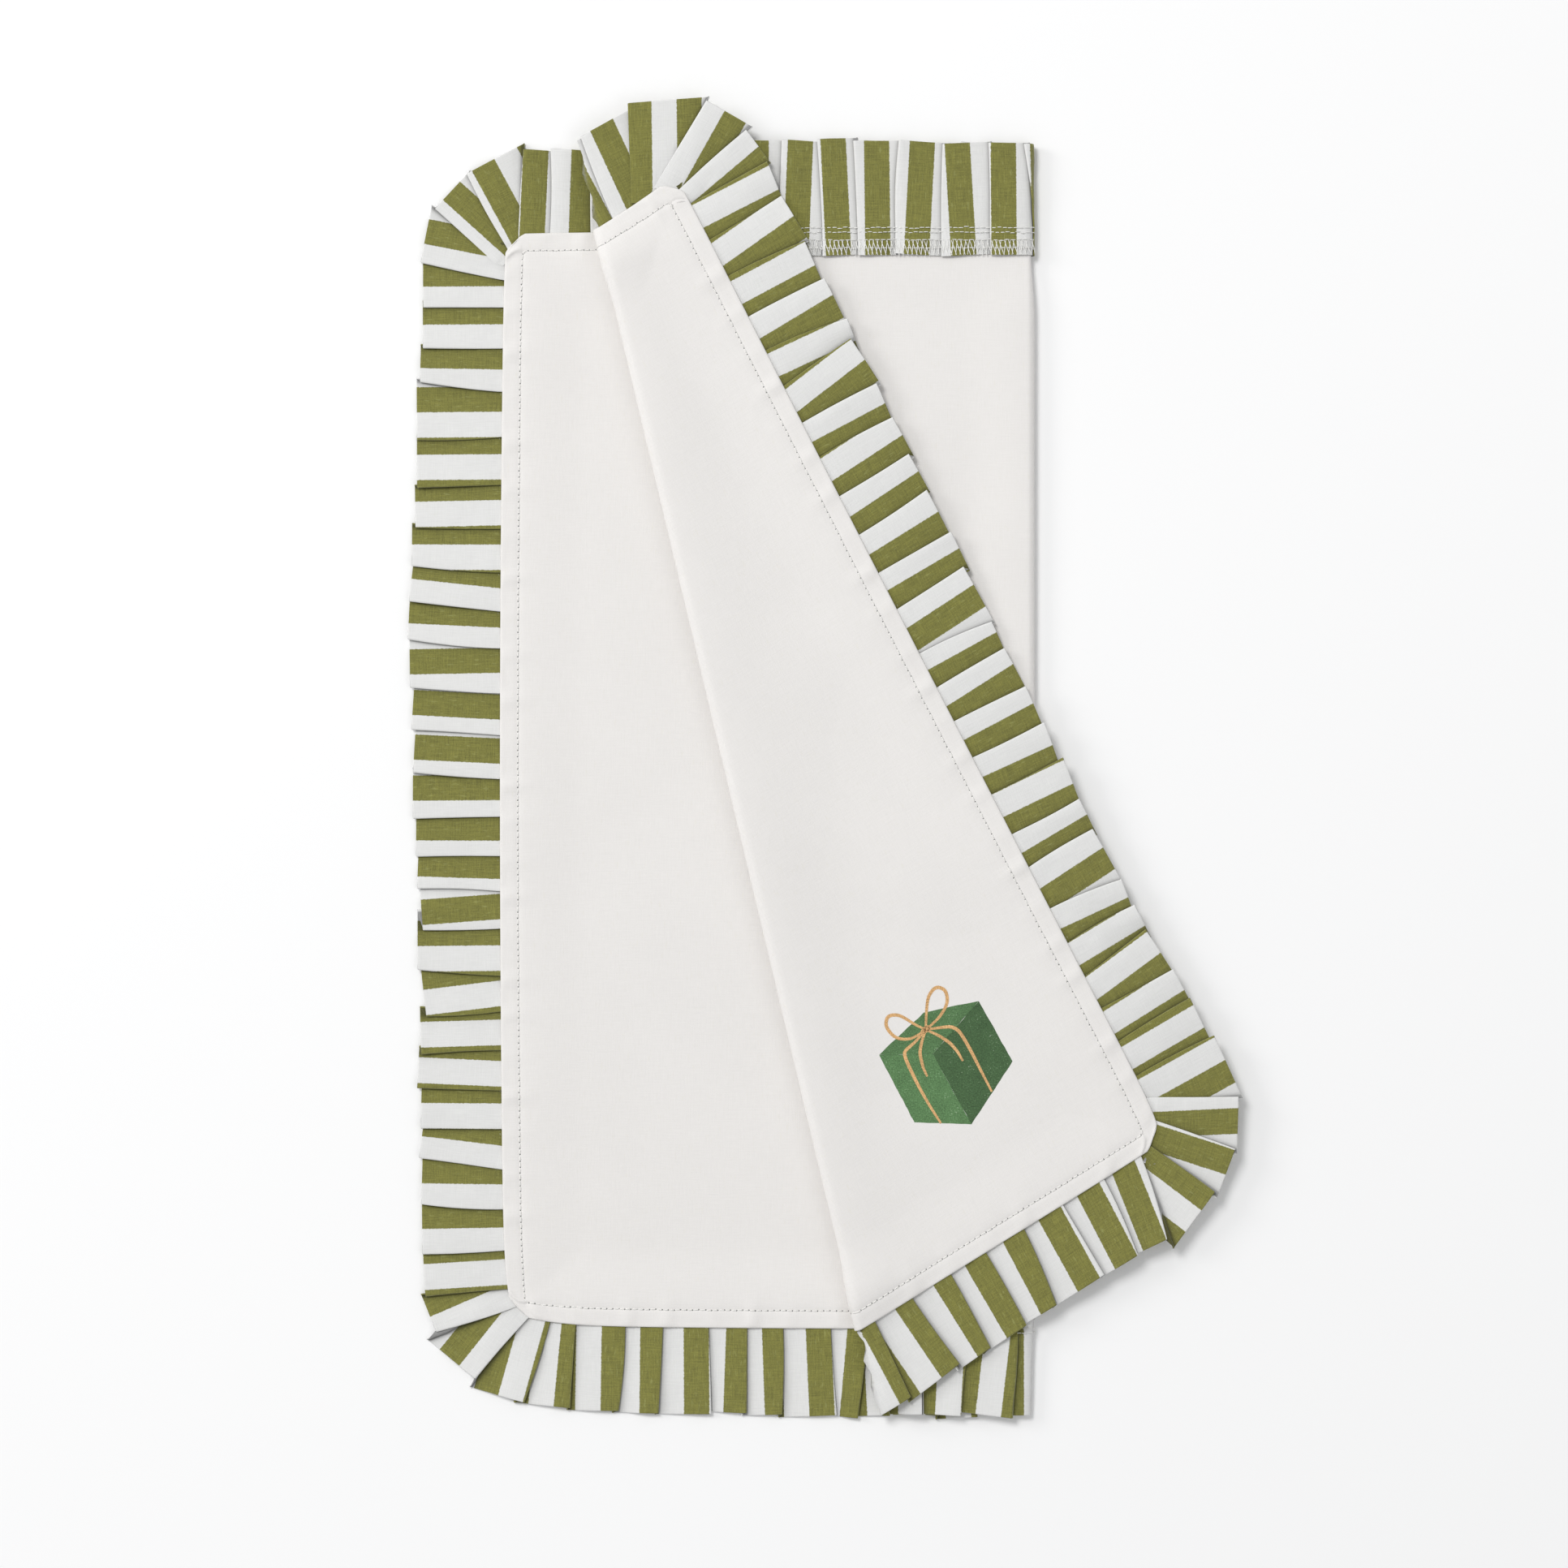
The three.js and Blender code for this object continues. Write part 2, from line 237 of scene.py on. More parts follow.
class Cover:
    """The flat cloth, its seam line and both folds, all read from the frame, in millimetres."""

    # Heights of the wrong side of the lower half, the folded-over part and the turned-back side.
    LOWER = 0.25
    UPPER = 7.45
    THIRD = 8.25
    LOWER_TOP = 3.3
    # How far the turned-back side slips along its crease, as a share of the distance from it.
    SLIP = 0.086
    # How each seam is drawn: at its start, at its end, how far that reaches, and its bow inwards.
    LEFT_PULL = (1.0, 3.2, 20, 2.0)
    LOW_PULL = (5.2, 0.4, 20, 1.4)
    RIGHT_PULL = (2.6, 0.6, 11, -0.6)
    TOP_PULL = (-3.0, 0.6, 26, 0.8)
    PULL_DEPTH = 38
    # Depth and length of the rounding of the seam's corners.
    CORNER_DEPTH = 4.0
    CORNER_LENGTH = 4.6
    # Soft waves of the lower half and of the turned-back side, and the flat rim that the first one leaves.
    LOWER_WAVE = 0.9
    TURNED_WAVE = 0.8
    WAVE_RIM = 50
    # How much of the crease's lift is lost in the ruffle, and how far the lift reaches from the crease.
    LIFT_LOSS = 0.9
    LIFT_REACH = 30
    # Heights of the panel: where it lies flat, of its puckers, between the folds and of its drag lines.
    FLAT_HEIGHT = 0.36
    PUCKER_HEIGHT = 0.95
    FOLDED_RISE = 1.9
    FOLDED_WAVE = 0.5
    DRAG_HEIGHT = 0.34
    STITCH_DENT = 0.3

    def __init__(self):
        sizes = bpy.context.scene.cover_sizes
        self.left = box_mm("hem_left")[0][0]
        self.bottom = box_mm("hem_bottom_base")[0][1]
        self.fold = JOINTS["half_fold"]["pos_m"][0] / MM
        self.half = self.fold - self.left
        self.width = 2 * self.half
        self.height = box_mm("hem_top_base")[1][1] - self.bottom
        self.ruffle = self.left - box_mm("ruffle_left_above_join")[0][0]
        self.join = box_mm("ruffle_left_above_join")[0][1] - self.bottom
        crease = JOINTS["slanting_crease"]
        self.foot = np.array(crease["pos_m"][:2]) / MM
        axis = np.array(crease["axis"][:2])
        self.up = -axis / np.linalg.norm(axis)
        self.out = np.array([-self.up[1], self.up[0]])
        foot_x = self.half + self.fold - self.foot[0]
        self.lean = -self.up[0] / self.up[1]
        self.crease_low = foot_x - self.lean * (self.foot[1] - self.bottom)
        self.lift = sizes.crease_lift
        self.fold_radius = (self.UPPER - self.LOWER) / 2
        self.crease_radius = (self.THIRD + self.lift - self.UPPER) / 2
        self.round = 2 * (self.width + self.height)
        self.pleats = None

    def crease_x(self, y):
        """Flat x of the slanting crease at flat y."""
        return self.crease_low + self.lean * y

    def warp(self, x, y):
        """Draws the seam line in at the corners and bows it a little, as sewing does."""

        def cut_corner(gap):
            return self.CORNER_DEPTH * np.clip(1 - gap / self.CORNER_LENGTH, 0, 1) ** 1.15

        def drawn(start, end, at_start, at_end, reach, bow):
            pull = at_start * np.exp(-start / reach) + at_end * np.exp(-end / reach)
            bowed = bow * np.sin(math.pi * np.clip(start / (start + end), 0, 1))
            return cut_corner(start) + cut_corner(end) + pull - bowed

        def near(gap):
            return dip(np.clip(gap, 0, None), self.PULL_DEPTH)

        w, h = self.width, self.height
        x0, y0 = np.clip(x, 0, w), np.clip(y, 0, h)
        left = drawn(h - y0, y0, *self.LEFT_PULL)
        low = drawn(x0, w - x0, *self.LOW_PULL)
        right = drawn(y0, h - y0, *self.RIGHT_PULL)
        top = drawn(w - x0, x0, *self.TOP_PULL)
        shift_x = left * near(x0) - right * near(w - x0)
        shift_y = low * near(y0) - top * near(h - y0)
        return x + shift_x, y + shift_y

    def fold_half(self, x, y, h):
        """Where a point lies once the half fold is made."""
        radius = self.fold_radius
        past = x - self.half
        turn = np.clip((past + radius) / (2 * radius), 0, 1) * math.pi
        rim = np.minimum.reduce([x, y, self.height - y, self.half - 8 - x])
        inside = smooth(rim / self.WAVE_RIM)
        wave = self.LOWER_WAVE * np.clip(ripple(x, y, 11, 190), -0.2, 1.6) * inside
        rolled_x = self.fold - radius + (radius - h) * np.sin(turn)
        rolled_z = self.LOWER + radius - (radius - h) * np.cos(turn)
        place_x = np.where(past > -radius, rolled_x, self.left + x)
        place_x = np.where(past > radius, self.fold - past, place_x)
        place_z = np.where(past > -radius, rolled_z, self.LOWER + h)
        place_z = place_z + np.where(past > -radius, 0, np.clip(wave, 0, None))
        place_z = np.where(past > radius, self.UPPER - h, place_z)
        place_z = np.where(past < -radius, np.clip(place_z, 0.04, self.LOWER_TOP), place_z)
        return place_x, self.bottom + y, place_z

    def lay(self, x, y, h):
        """Where a point of the flat cloth lies once both folds are made; h is its height."""
        place_x, place_y, place_z = self.fold_half(x, y, h)
        east, north = place_x - self.foot[0], place_y - self.foot[1]
        along = east * self.up[0] + north * self.up[1]
        out = east * self.out[0] + north * self.out[1]
        beyond = np.maximum(along - self.height / self.up[1], -along)
        lift = self.lift * (1 - self.LIFT_LOSS * smooth((beyond + 20) / 30))
        radius = (self.THIRD + lift - self.UPPER) / 2
        third = (x - self.half > self.fold_radius) & (out > -radius)
        turn = np.clip((out + radius) / (2 * radius), 0, 1) * math.pi
        bent = -radius + (radius + h) * np.sin(turn)
        flat_out = np.where(out > radius, -out, bent)
        along = along + self.SLIP * np.clip(out, 0, None)
        new_x = self.foot[0] + along * self.up[0] + flat_out * self.out[0]
        new_y = self.foot[1] + along * self.up[1] + flat_out * self.out[1]
        fall = dip(np.clip(out - radius, 0, None), self.LIFT_REACH)
        wave = np.clip(ripple(new_x, new_y, 12, 150), 0, 1.5) * smooth((out - 8) / 40)
        high = self.THIRD + lift * fall + self.TURNED_WAVE * wave + h
        rolled = self.UPPER + radius - (radius + h) * np.cos(turn)
        turned = [new_x, new_y, np.where(out > radius, high, rolled)]
        flat = [place_x, place_y, place_z]
        return np.stack([np.where(third, a, b) for a, b in zip(turned, flat)], axis=-1)

    def round_at(self, x, y):
        """How far round the seam line the nearest point of the edge is, from the top left corner."""
        w, h = self.width, self.height
        gaps = np.stack([x, y, w - x, h - y])
        side = np.argmin(gaps, axis=0)
        places = np.stack([h - y, h + x, h + w + y, 2 * h + w + (w - x)])
        return np.take_along_axis(places, side[None], 0)[0], np.min(gaps, axis=0)

    def panel_height(self, x, y):
        """Height of the plain cotton's middle above its own wrong side plane."""
        sizes = bpy.context.scene.cover_sizes
        place, gap = self.round_at(x, y)
        rim = 1 - smooth((gap - sizes.allowance + 1) / 30)
        height = self.FLAT_HEIGHT + (sizes.hem_height - self.FLAT_HEIGHT) * rim
        beat = np.interp(place, self.pleats.folds, np.arange(len(self.pleats.folds)))
        pucker = dip(np.mod(beat + 0.35, 1.0) - 0.5, 0.16) - 0.2
        strong = 0.75 + 0.5 * np.sin(beat * 2.4)
        fade = smooth(1 - (gap - 1) / 19) * smooth(gap / 3 + 0.3)
        height = height + self.PUCKER_HEIGHT * strong * pucker * fade
        height = height - self.STITCH_DENT * dip(gap - sizes.topstitch_inset, 0.8)
        past = x - self.half
        second = smooth((past - 6) / 30) * smooth((self.crease_x(y) - 4 - x) / 30)
        rise = self.FOLDED_RISE + self.FOLDED_WAVE * ripple(x, y, 13, 120)
        height = height + second * rise * smooth((gap - 13) / 28)
        drag = np.sin((x * 0.8 + y * 1.1) * FULL_TURN / 8.0) * dip(np.hypot((x - 34) / 20, (y - 5) / 8), 1)
        return height + self.DRAG_HEIGHT * drag * (gap > 0.5)


# ---------------------------------------------------------------- pleats of the ruffle


class Pleats:
    """Where every pleat of the ruffle lies, and how the strip runs through it."""

    # How far before and after a corner the ruffle turns, in millimetres along the seam.
    TURN_REACH = 18.0
    # How the five pleats at the join lean, how long they are next to the others, and how deep it laps.
    JOIN_LEANS = (-0.03, 0.075, 0.01, 0.12, 0.03)
    JOIN_LENGTHS = (1.0, 0.94, 1.01, 0.95, 0.97)
    JOIN_LAP = 9.0
    JOIN_TUCK = 7.0
    FIRST_STRIPE = 9.0
    DEEPEST_TUCK = 12.0

    def __init__(self, cover):
        self.cover = cover
        sizes = bpy.context.scene.cover_sizes
        self.pitch = sizes.pleat_pitch
        self.repeat = 2 * sizes.stripe_width
        rng = np.random.default_rng(2024)
        start = -self.TURN_REACH
        folds = [start]
        while folds[-1] < start + cover.round - 4:
            here = folds[-1]
            spread = self.speed(np.array([here + 5.0]), np.array([cover.ruffle]))[0]
            step = self.pitch / (1 + 0.85 * (spread - 1))
            folds.append(here + step * (1 + uneven(rng, 0, 0.10, -0.22, 0.22, None)))
        folds = np.array(folds)
        self.folds = start + (folds - start) * cover.round / (folds[-1] - start)
        count = len(self.folds) - 1
        self.count = count
        middle = (self.folds[:-1] + self.folds[1:]) / 2
        gaps = np.diff(self.folds)
        spread = self.speed(middle, np.full(count, cover.ruffle))
        corner = np.clip((spread - 1) / 1.5, 0, 1)
        lean = uneven(rng, 0, 0.058, -0.12, 0.12, count) * (1 + 0.6 * corner)
        self.joined = int(np.searchsorted(self.folds, cover.height - cover.join))
        near_join = slice(self.joined - 2, self.joined + 3)
        lean[near_join] = self.JOIN_LEANS
        angle = self.heading(middle) + lean
        self.origin = np.stack(self.seam(middle), axis=-1)
        self.outward = np.stack([np.cos(angle), np.sin(angle)], axis=-1)
        self.onward = np.stack([-np.sin(angle), np.cos(angle)], axis=-1)
        self.half = 0.5 * gaps * (0.4 + 0.6 * spread) + uneven(rng, 0, 0.5, -1, 1, count)
        self.wide = self.reach(middle) * (1 + uneven(rng, 0, 0.014, -0.03, 0.03, count))
        self.wide[near_join] *= self.JOIN_LENGTHS
        self.inner = 1 / (1 + 0.55 * np.clip(spread - 1, 0, 3))
        self.corner = corner
        self.open = uneven(rng, 0.9, 1.8, -1.0, 4.5, count)
        self.arc = rng.normal(0, 0.35, count)
        self.bulk = uneven(rng, 1, 0.14, 0.7, 1.3, count)
        self.puff = uneven(rng, 0.22, 0.16, 0, 0.6, count)
        self.bend = rng.uniform(0.75, 1.7, count)
        fabric = np.clip(gaps * 0.45 + self.repeat * 0.55 + rng.normal(2.0, 1.3, count), 23.5, 28.5)
        fabric = np.maximum(fabric, np.where(spread > 1.3, gaps * spread + 2.5, 0))
        self.fabric = fabric
        self.middle = self.FIRST_STRIPE + np.concatenate([[0.0], np.cumsum(fabric)])
        self.middle[self.joined:] += self.JOIN_LAP

    def heading(self, place):
        """Direction the ruffle points in, turning over each corner."""
        cover = self.cover
        angle = np.full(np.shape(place), math.pi / 2)
        corners = np.cumsum([0, cover.height, cover.width, cover.height, cover.width])
        for corner in corners:
            turned = smooth((place - corner + self.TURN_REACH) / (2 * self.TURN_REACH))
            angle = angle + turned * math.pi / 2
        return angle

    def seam(self, place):
        """Flat x and y of the seam line."""
        cover = self.cover
        w, h = cover.width, cover.height
        place = np.mod(place, cover.round)
        sides = [place < h, place < h + w, place < 2 * h + w]
        x = np.select(sides, [0 * place, place - h, w + 0 * place], 2 * (w + h) - place)
        y = np.select(sides, [h - place, 0 * place, place - h - w], h + 0 * place)
        return cover.warp(x, y)

    def reach(self, place):
        """The ruffle's own width as a share of the usual one, a little uneven as gathers are."""
        cover = self.cover
        bottom = cover.height
        right = bottom + cover.width
        top = right + cover.height
        knots = [
            (-18, 0.97), (60, 0.98), (190, 1.07), (250, 1.03), (330, 0.98), (bottom - 60, 0.96),
            (bottom + 40, 0.99), (bottom + 130, 1.04), (right - 20, 0.97), (right + 30, 1.0),
            (right + 115, 0.86), (right + 190, 0.89), (right + 330, 0.94), (top - 40, 0.98),
            (top + 20, 1.03), (top + 120, 1.06), (cover.round - 120, 1.03), (cover.round - 18, 0.97),
        ]
        return np.interp(place, *zip(*knots))

    def spot(self, place, r):
        """Flat x and y at distance r outside the seam."""
        x, y = self.seam(place)
        angle = self.heading(place)
        return x + r * np.cos(angle), y + r * np.sin(angle)

    def speed(self, place, r):
        """How much longer the ruffle is here than at the seam."""
        a = np.stack(self.spot(place - 0.5, r))
        b = np.stack(self.spot(place + 0.5, r))
        return np.maximum(np.linalg.norm(b - a, axis=0), 0.35)

    def layer(self, k, r):
        """Room that one doubled layer takes at distance r outside the seam."""
        share = np.clip(r / self.cover.ruffle, 0, 1)
        room = np.where(r < 0, 0.40, 0.47 + 0.66 * share)
        return room * (1 + (self.bulk[k % self.count] - 1) * smooth(r / 15))

    def fold_edge(self, k, r):
        """Distance of pleat k's fold edge from its middle line."""
        share = np.clip(r / self.cover.ruffle, 0, 1)
        k = k % self.count
        bow = self.arc[k] * np.sin(math.pi * share)
        return self.half[k] - self.open[k] * share ** 1.5 + bow

    def point(self, k, a, r):
        """Flat x and y of a point of pleat k, a along the strip and r across it."""
        k = k % self.count
        long = np.where(r > 0, r * self.wide[k], r * self.inner[k])
        return self.origin[k] + self.onward[k] * a[..., None] + self.outward[k] * long[..., None]

    def tuck(self, k, r):
        """Where the fold edge before pleat k lies on it, and how deep the tuck under it is."""
        before = (k - 1) % self.count
        k = k % self.count
        edge = self.fold_edge(before, r)
        gap = self.point(before, edge, r) - self.origin[k]
        at = gap @ self.onward[k]
        deep = (at + self.fabric[before] - edge) / 2
        if k == self.joined:
            deep = deep + self.JOIN_TUCK
        room = self.layer(k, r)
        return at, np.clip(deep, 1.3 * room, self.DEEPEST_TUCK)

    def strip(self, first, last, r):
        """Flat points, heights, cloth lengths and painted shade of the zigzag through the pleats."""
        spots, heights, lengths, face_shade, back_shade = [], [], [], [], []
        share = np.clip(r / self.cover.ruffle, 0, 1)

        def painted_tuck_shade(gap):
            """Painted shade: how dark the cloth is painted this far out from under a tuck."""
            gap = np.clip(gap, 0, None)
            return 0.82 * np.exp(-gap / 0.9) + 0.18 * np.exp(-gap / 4.0)

        # face and back are the shade painted on the strip's right side and on its wrong side.
        def add(spot, height, length, face, back):
            spots.append(spot)
            heights.append(height + 0 * r)
            lengths.append(length + 0 * r)
            face_shade.append(face + 0 * r)
            back_shade.append(back + 0 * r)

        for k in range(first, last):
            i = k % self.count
            room = self.layer(k, r)
            before, deep = self.tuck(k, r)
            start = before - deep
            edge = self.fold_edge(k, r)
            next_before, next_deep = self.tuck(k + 1, r)
            next_start = next_before - next_deep
            under = edge - next_deep
            ball = 0.5 * room
            stops = [start + ball, (start + before) / 2, before + 0.15, before + 0.9, before + 2.2]
            stops += [before + (under - before) * t for t in (0.25, 0.4, 0.6, 0.78)]
            stops += [under - 2.2, under - 0.9, under, (under + edge) / 2, edge - ball]
            stops = np.sort(np.clip(np.array(stops), start + ball, edge - ball), axis=0)
            apart = np.clip((under - before) / 8, 0, 1)
            low = start + (before - start) * apart
            high = edge - (edge - under) * apart
            visible = np.maximum(edge - before, 3.0)
            top = np.maximum(2.0 * room, 1.15 * room * (edge - start) / visible)
            for a in stops:
                climb = np.clip((a - low) / np.maximum(high - low, 1e-3), 0, 1)
                rise = smooth(climb) * 0.5 + 0.5 * climb ** self.bend[i]
                crown = self.puff[i] * np.sin(math.pi * climb) * smooth(r / 12) * (0.4 + 0.6 * share)
                height = 0.5 * room + top * rise + crown
                add(self.point(k, a, r), height, self.middle[k] + a, painted_tuck_shade(a - before), painted_tuck_shade(under - a))
            # Round the outer fold: its lower half, and all of it on the wrong side, is painted in shade.
            for angle in np.radians([30, 70, 110, 150]):
                a = edge - ball + ball * math.sin(angle)
                height = 0.5 * room + top - ball + ball * math.cos(angle)
                dark = 0.0 if angle < 1.5 else 0.8
                add(self.point(k, a, r), height, self.middle[k] + edge + 0.3 * angle * ball, dark, 1.0)
            # Back under the pleat, where the strip is painted fully in shade.
            here = self.point(k, edge - ball, r)
            there = self.point(k + 1, next_start + ball, r)
            after = self.middle[k + 1] + next_start
            from_height = top - 0.5 * room
            for t in (0.08, 0.5, 0.92):
                height = from_height + (1.5 * room - from_height) * t
                length = self.middle[k] + edge + ball + (after - self.middle[k] - edge - ball) * t
                add(here + (there - here) * t, height, length, 1.0, 1.0)
            # Round the inner fold, painted in shade on its right side only.
            for angle in np.radians([30, 90, 150]):
                a = next_start + ball - ball * math.sin(angle)
                height = room + 0.5 * room * math.cos(angle)
                add(self.point(k + 1, a, r), height, after, 1.0, 0.0)
        spot = np.array(spots)
        height = np.array(heights)
        gather = ripple(spot[..., 0], spot[..., 1], 32, 7.5)
        height = height + 0.13 * gather * np.exp(-np.abs(r - 2) / 7)
        height = height + 0.20 * ripple(spot[..., 0], spot[..., 1], 33, 26) * share
        height = height + 0.10 * ripple(spot[..., 0], spot[..., 1], 34, 9) * smooth(r / 6)
        corners = [self.corner[k % self.count] for k in range(first, last)]
        bent = np.repeat(corners, len(height) // (last - first))
        dent = dip(r - 11 - 2.5 * gather, 2.6) - 0.8 * dip(r - 15 - 2 * gather, 2.4)
        height = height - 0.55 * np.clip(bent * 1.6, 0, 1)[:, None] * dent
        return spot, height, np.array(lengths), np.array(face_shade), np.array(back_shade)


# Rows of the doubled strip: distances outside the seam, in millimetres, and then round its outer fold.
STRIP_ROWS = np.array(
    [-12.0, -8.5, -5.0, -1.5, 0.0, 1.2, 3.0, 6.0, 10.0, 15.0, 21.0, 27.0, 33.0, 38.0, 40.9, 41.7]
)
TIP_ROWS = [42.1, 42.3, 42.5]

# Half the distance between the strip's two layers: inside the seam, at it, and its gain by the fold.
SEAM_GAP = 0.15
START_GAP = 0.16
GAP_GAIN = 0.17
LOWEST_MIDDLE = 0.18


def build_strip(name, pleats, first, last, material):
    """One length of the doubled, pleated strip: right side, outer fold and wrong side."""
    cover = pleats.cover
    rows = STRIP_ROWS
    spot, height, length, face_shade, back_shade = pleats.strip(first, last, rows)
    press = PLEAT_LIMIT - PLEAT_FREE
    pressed = PLEAT_FREE + press * np.tanh((height - PLEAT_FREE) / press)
    height = np.where(height > PLEAT_FREE, pressed, np.clip(height, LOWEST_MIDDLE, None))
    middle = cover.lay(spot[..., 0], spot[..., 1], height)
    along = np.gradient(middle, axis=0)
    across = np.gradient(middle, rows, axis=1)
    normal = unit(np.cross(across, along))
    outward = unit(across)
    open_gap = START_GAP + GAP_GAIN * np.clip(rows / cover.ruffle, 0, 1)
    gap = np.where(rows < 0, SEAM_GAP, open_gap)[None, :, None]
    tip = middle[:, -1:]
    ends = []
    for angle in np.radians([40, 90, 140]):
        up = normal[:, -1:] * math.cos(angle)
        out = outward[:, -1:] * math.sin(angle)
        ends.append(tip + gap[:, -1:] * (up + out))
    points = np.concatenate([middle + normal * gap, *ends, (middle - normal * gap)[:, ::-1]], axis=1)
    wide = np.concatenate([rows, TIP_ROWS, 2 * TIP_ROWS[1] - rows[::-1]])
    tip_length = length[:, -1:].repeat(3, 1)
    length = np.concatenate([length, tip_length, length[:, ::-1]], axis=1)
    # Painted shade, kept as the cloth attribute's third value: the outer fold takes the mean of both sides'
    # shade.
    edge_shade = (face_shade[:, -1:] * 0.5 + back_shade[:, -1:] * 0.5).repeat(3, 1)
    shade = np.concatenate([face_shade, edge_shade, back_shade[:, ::-1]], axis=1)
    cloth = np.stack([length, np.broadcast_to(wide, length.shape), shade], axis=-1)
    faces = grid_faces(*points.shape[:2])
    piece = make_piece(name, points.reshape(-1, 3), faces, material, cloth.reshape(-1, 3))
    return piece, float(pleats.middle[last] - pleats.middle[first])


# ---------------------------------------------------------------- materials


def node(tree, kind, inputs=None, **settings):
    """Adds one node, with its settings and inputs."""
    made = tree.nodes.new(kind)
    for key, value in settings.items():
        setattr(made, key, value)
    for key, value in (inputs or {}).items():
        if isinstance(value, bpy.types.NodeSocket):
            tree.links.new(value, made.inputs[key])
        else:
            made.inputs[key].default_value = value
    return made


def maths(tree, operation, a, b=0.0, c=None):
    """The result of one sum."""
    inputs = {0: a, 1: b}
    if c is not None:
        inputs[2] = c
    return node(tree, "ShaderNodeMath", inputs, operation=operation).outputs[0]


def swung(tree, noise, depth, base):
    """Noise round its middle, made depth deep and added to base."""
    return maths(tree, "MULTIPLY_ADD", maths(tree, "SUBTRACT", noise, 0.5), depth, base)


def stepped(tree, value, low, high, most=1.0):
    """Goes from 0 to most as value goes from low to high."""
    limits = {"Value": value, "From Min": low, "From Max": high, "To Min": 0.0, "To Max": most}
    return node(tree, "ShaderNodeMapRange", limits).outputs[0]


def lit(tree, colour, light):
    """A colour made lighter or darker."""
    return node(tree, "ShaderNodeVectorMath", {0: colour, "Scale": light}, operation="SCALE").outputs[0]


def speckle(tree, cloth, scale, detail):
    """Fine even noise."""
    settings = {"Vector": cloth, "Scale": scale, "Detail": detail}
    return node(tree, "ShaderNodeTexNoise", settings).outputs["Fac"]


def mixed_colours(tree, share, a, b):
    """Colour a turning into colour b as share goes from 0 to 1."""
    return node(tree, "ShaderNodeMix", {0: share, 6: a, 7: b}, data_type="RGBA").outputs[2]


def blank_material(name, roughness, sheen):
    """A material with its surface shader, and the cloth's own coordinates in millimetres."""
    material = bpy.data.materials.new(name)
    material.use_nodes = True
    tree = material.node_tree
    surface = tree.nodes["Principled BSDF"]
    surface.inputs["Roughness"].default_value = roughness
    surface.inputs["Specular IOR Level"].default_value = 0.25
    surface.inputs["Sheen Weight"].default_value = sheen
    surface.inputs["Sheen Roughness"].default_value = 0.6
    cloth = node(tree, "ShaderNodeAttribute", attribute_name="cloth").outputs["Vector"]
    flat = node(tree, "ShaderNodeVectorMath", {0: cloth, 1: (1.0, 1.0, 0.0)}, operation="MULTIPLY")
    return material, tree, surface, flat.outputs[0]


def stretched(tree, cloth, across, along, detail=2.0, offset=(0.0, 0.0, 0.0)):
    """Noise drawn out into threads: across and along are its sizes in millimetres."""
    places = {"Vector": cloth, "Scale": (1 / across, 1 / along, 1.0), "Location": offset}
    return speckle(tree, node(tree, "ShaderNodeMapping", places).outputs[0], 1.0, detail)


def weave(tree, cloth, thread):
    """Height of a plain weave with slubs, and how far its threads stray from the even colour."""
    pieces = node(tree, "ShaderNodeSeparateXYZ", {"Vector": cloth})
    wobble = stretched(tree, cloth, 6.0, 6.0, 1.0)
    shift = maths(tree, "MULTIPLY", wobble, 1.2)
    turns = []
    for axis in (0, 1):
        moved = maths(tree, "ADD", pieces.outputs[axis], shift)
        turns.append(maths(tree, "SINE", maths(tree, "MULTIPLY", moved, FULL_TURN / thread)))
    crossed = maths(tree, "MULTIPLY", turns[0], turns[1])
    warp_slub = stretched(tree, cloth, 0.55, 9.0, 2.0)
    weft_slub = stretched(tree, cloth, 9.0, 0.55, 2.0, (5.0, 3.0, 0.0))
    slub = maths(tree, "ADD", warp_slub, weft_slub)
    height = maths(tree, "MULTIPLY_ADD", crossed, 0.18, slub)
    return height, slub


def finish_cloth(tree, surface, colour, height, strength):
    """Joins the colour and the weave's relief to the surface."""
    tree.links.new(colour, surface.inputs["Base Color"])
    bump = node(tree, "ShaderNodeBump", {"Height": height, "Strength": strength, "Distance": 0.00022})
    tree.links.new(bump.outputs[0], surface.inputs["Normal"])


def varied(tree, colour, slub, cloth, depth, tint, tint_share):
    """A colour with lighter and darker threads, broad unevenness and a few tinted slubs."""
    broad = stretched(tree, cloth, 60.0, 60.0, 2.0, (2.0, 9.0, 0.0))
    light = maths(tree, "MULTIPLY_ADD", maths(tree, "SUBTRACT", slub, 1.0), depth, 1.0)
    light = swung(tree, broad, 0.05, light)
    spots = stretched(tree, cloth, 1.1, 5.0, 2.0, (7.0, 1.0, 0.0))
    pick = stepped(tree, spots, 0.60, 0.72, tint_share)
    return mixed_colours(tree, pick, lit(tree, colour, light), (*tint, 1.0))


def constant(tree, colour):
    """A colour as a node's output."""
    made = node(tree, "ShaderNodeRGB")
    made.outputs[0].default_value = (*colour, 1.0)
    return made.outputs[0]


def plain_cotton():
    """Off-white plain weave with soft slubs and a few warmer threads."""
    colours = bpy.context.scene.cover_colours
    material, tree, surface, cloth = blank_material("plain_cotton_weave", 0.92, 0.25)
    height, slub = weave(tree, cloth, PANEL_THREAD)
    base = constant(tree, colours.cotton)
    threads = varied(tree, base, slub, cloth, 0.06, (0.76, 0.73, 0.62), 0.2)
    finish_cloth(tree, surface, threads, height, 0.32)
    return material


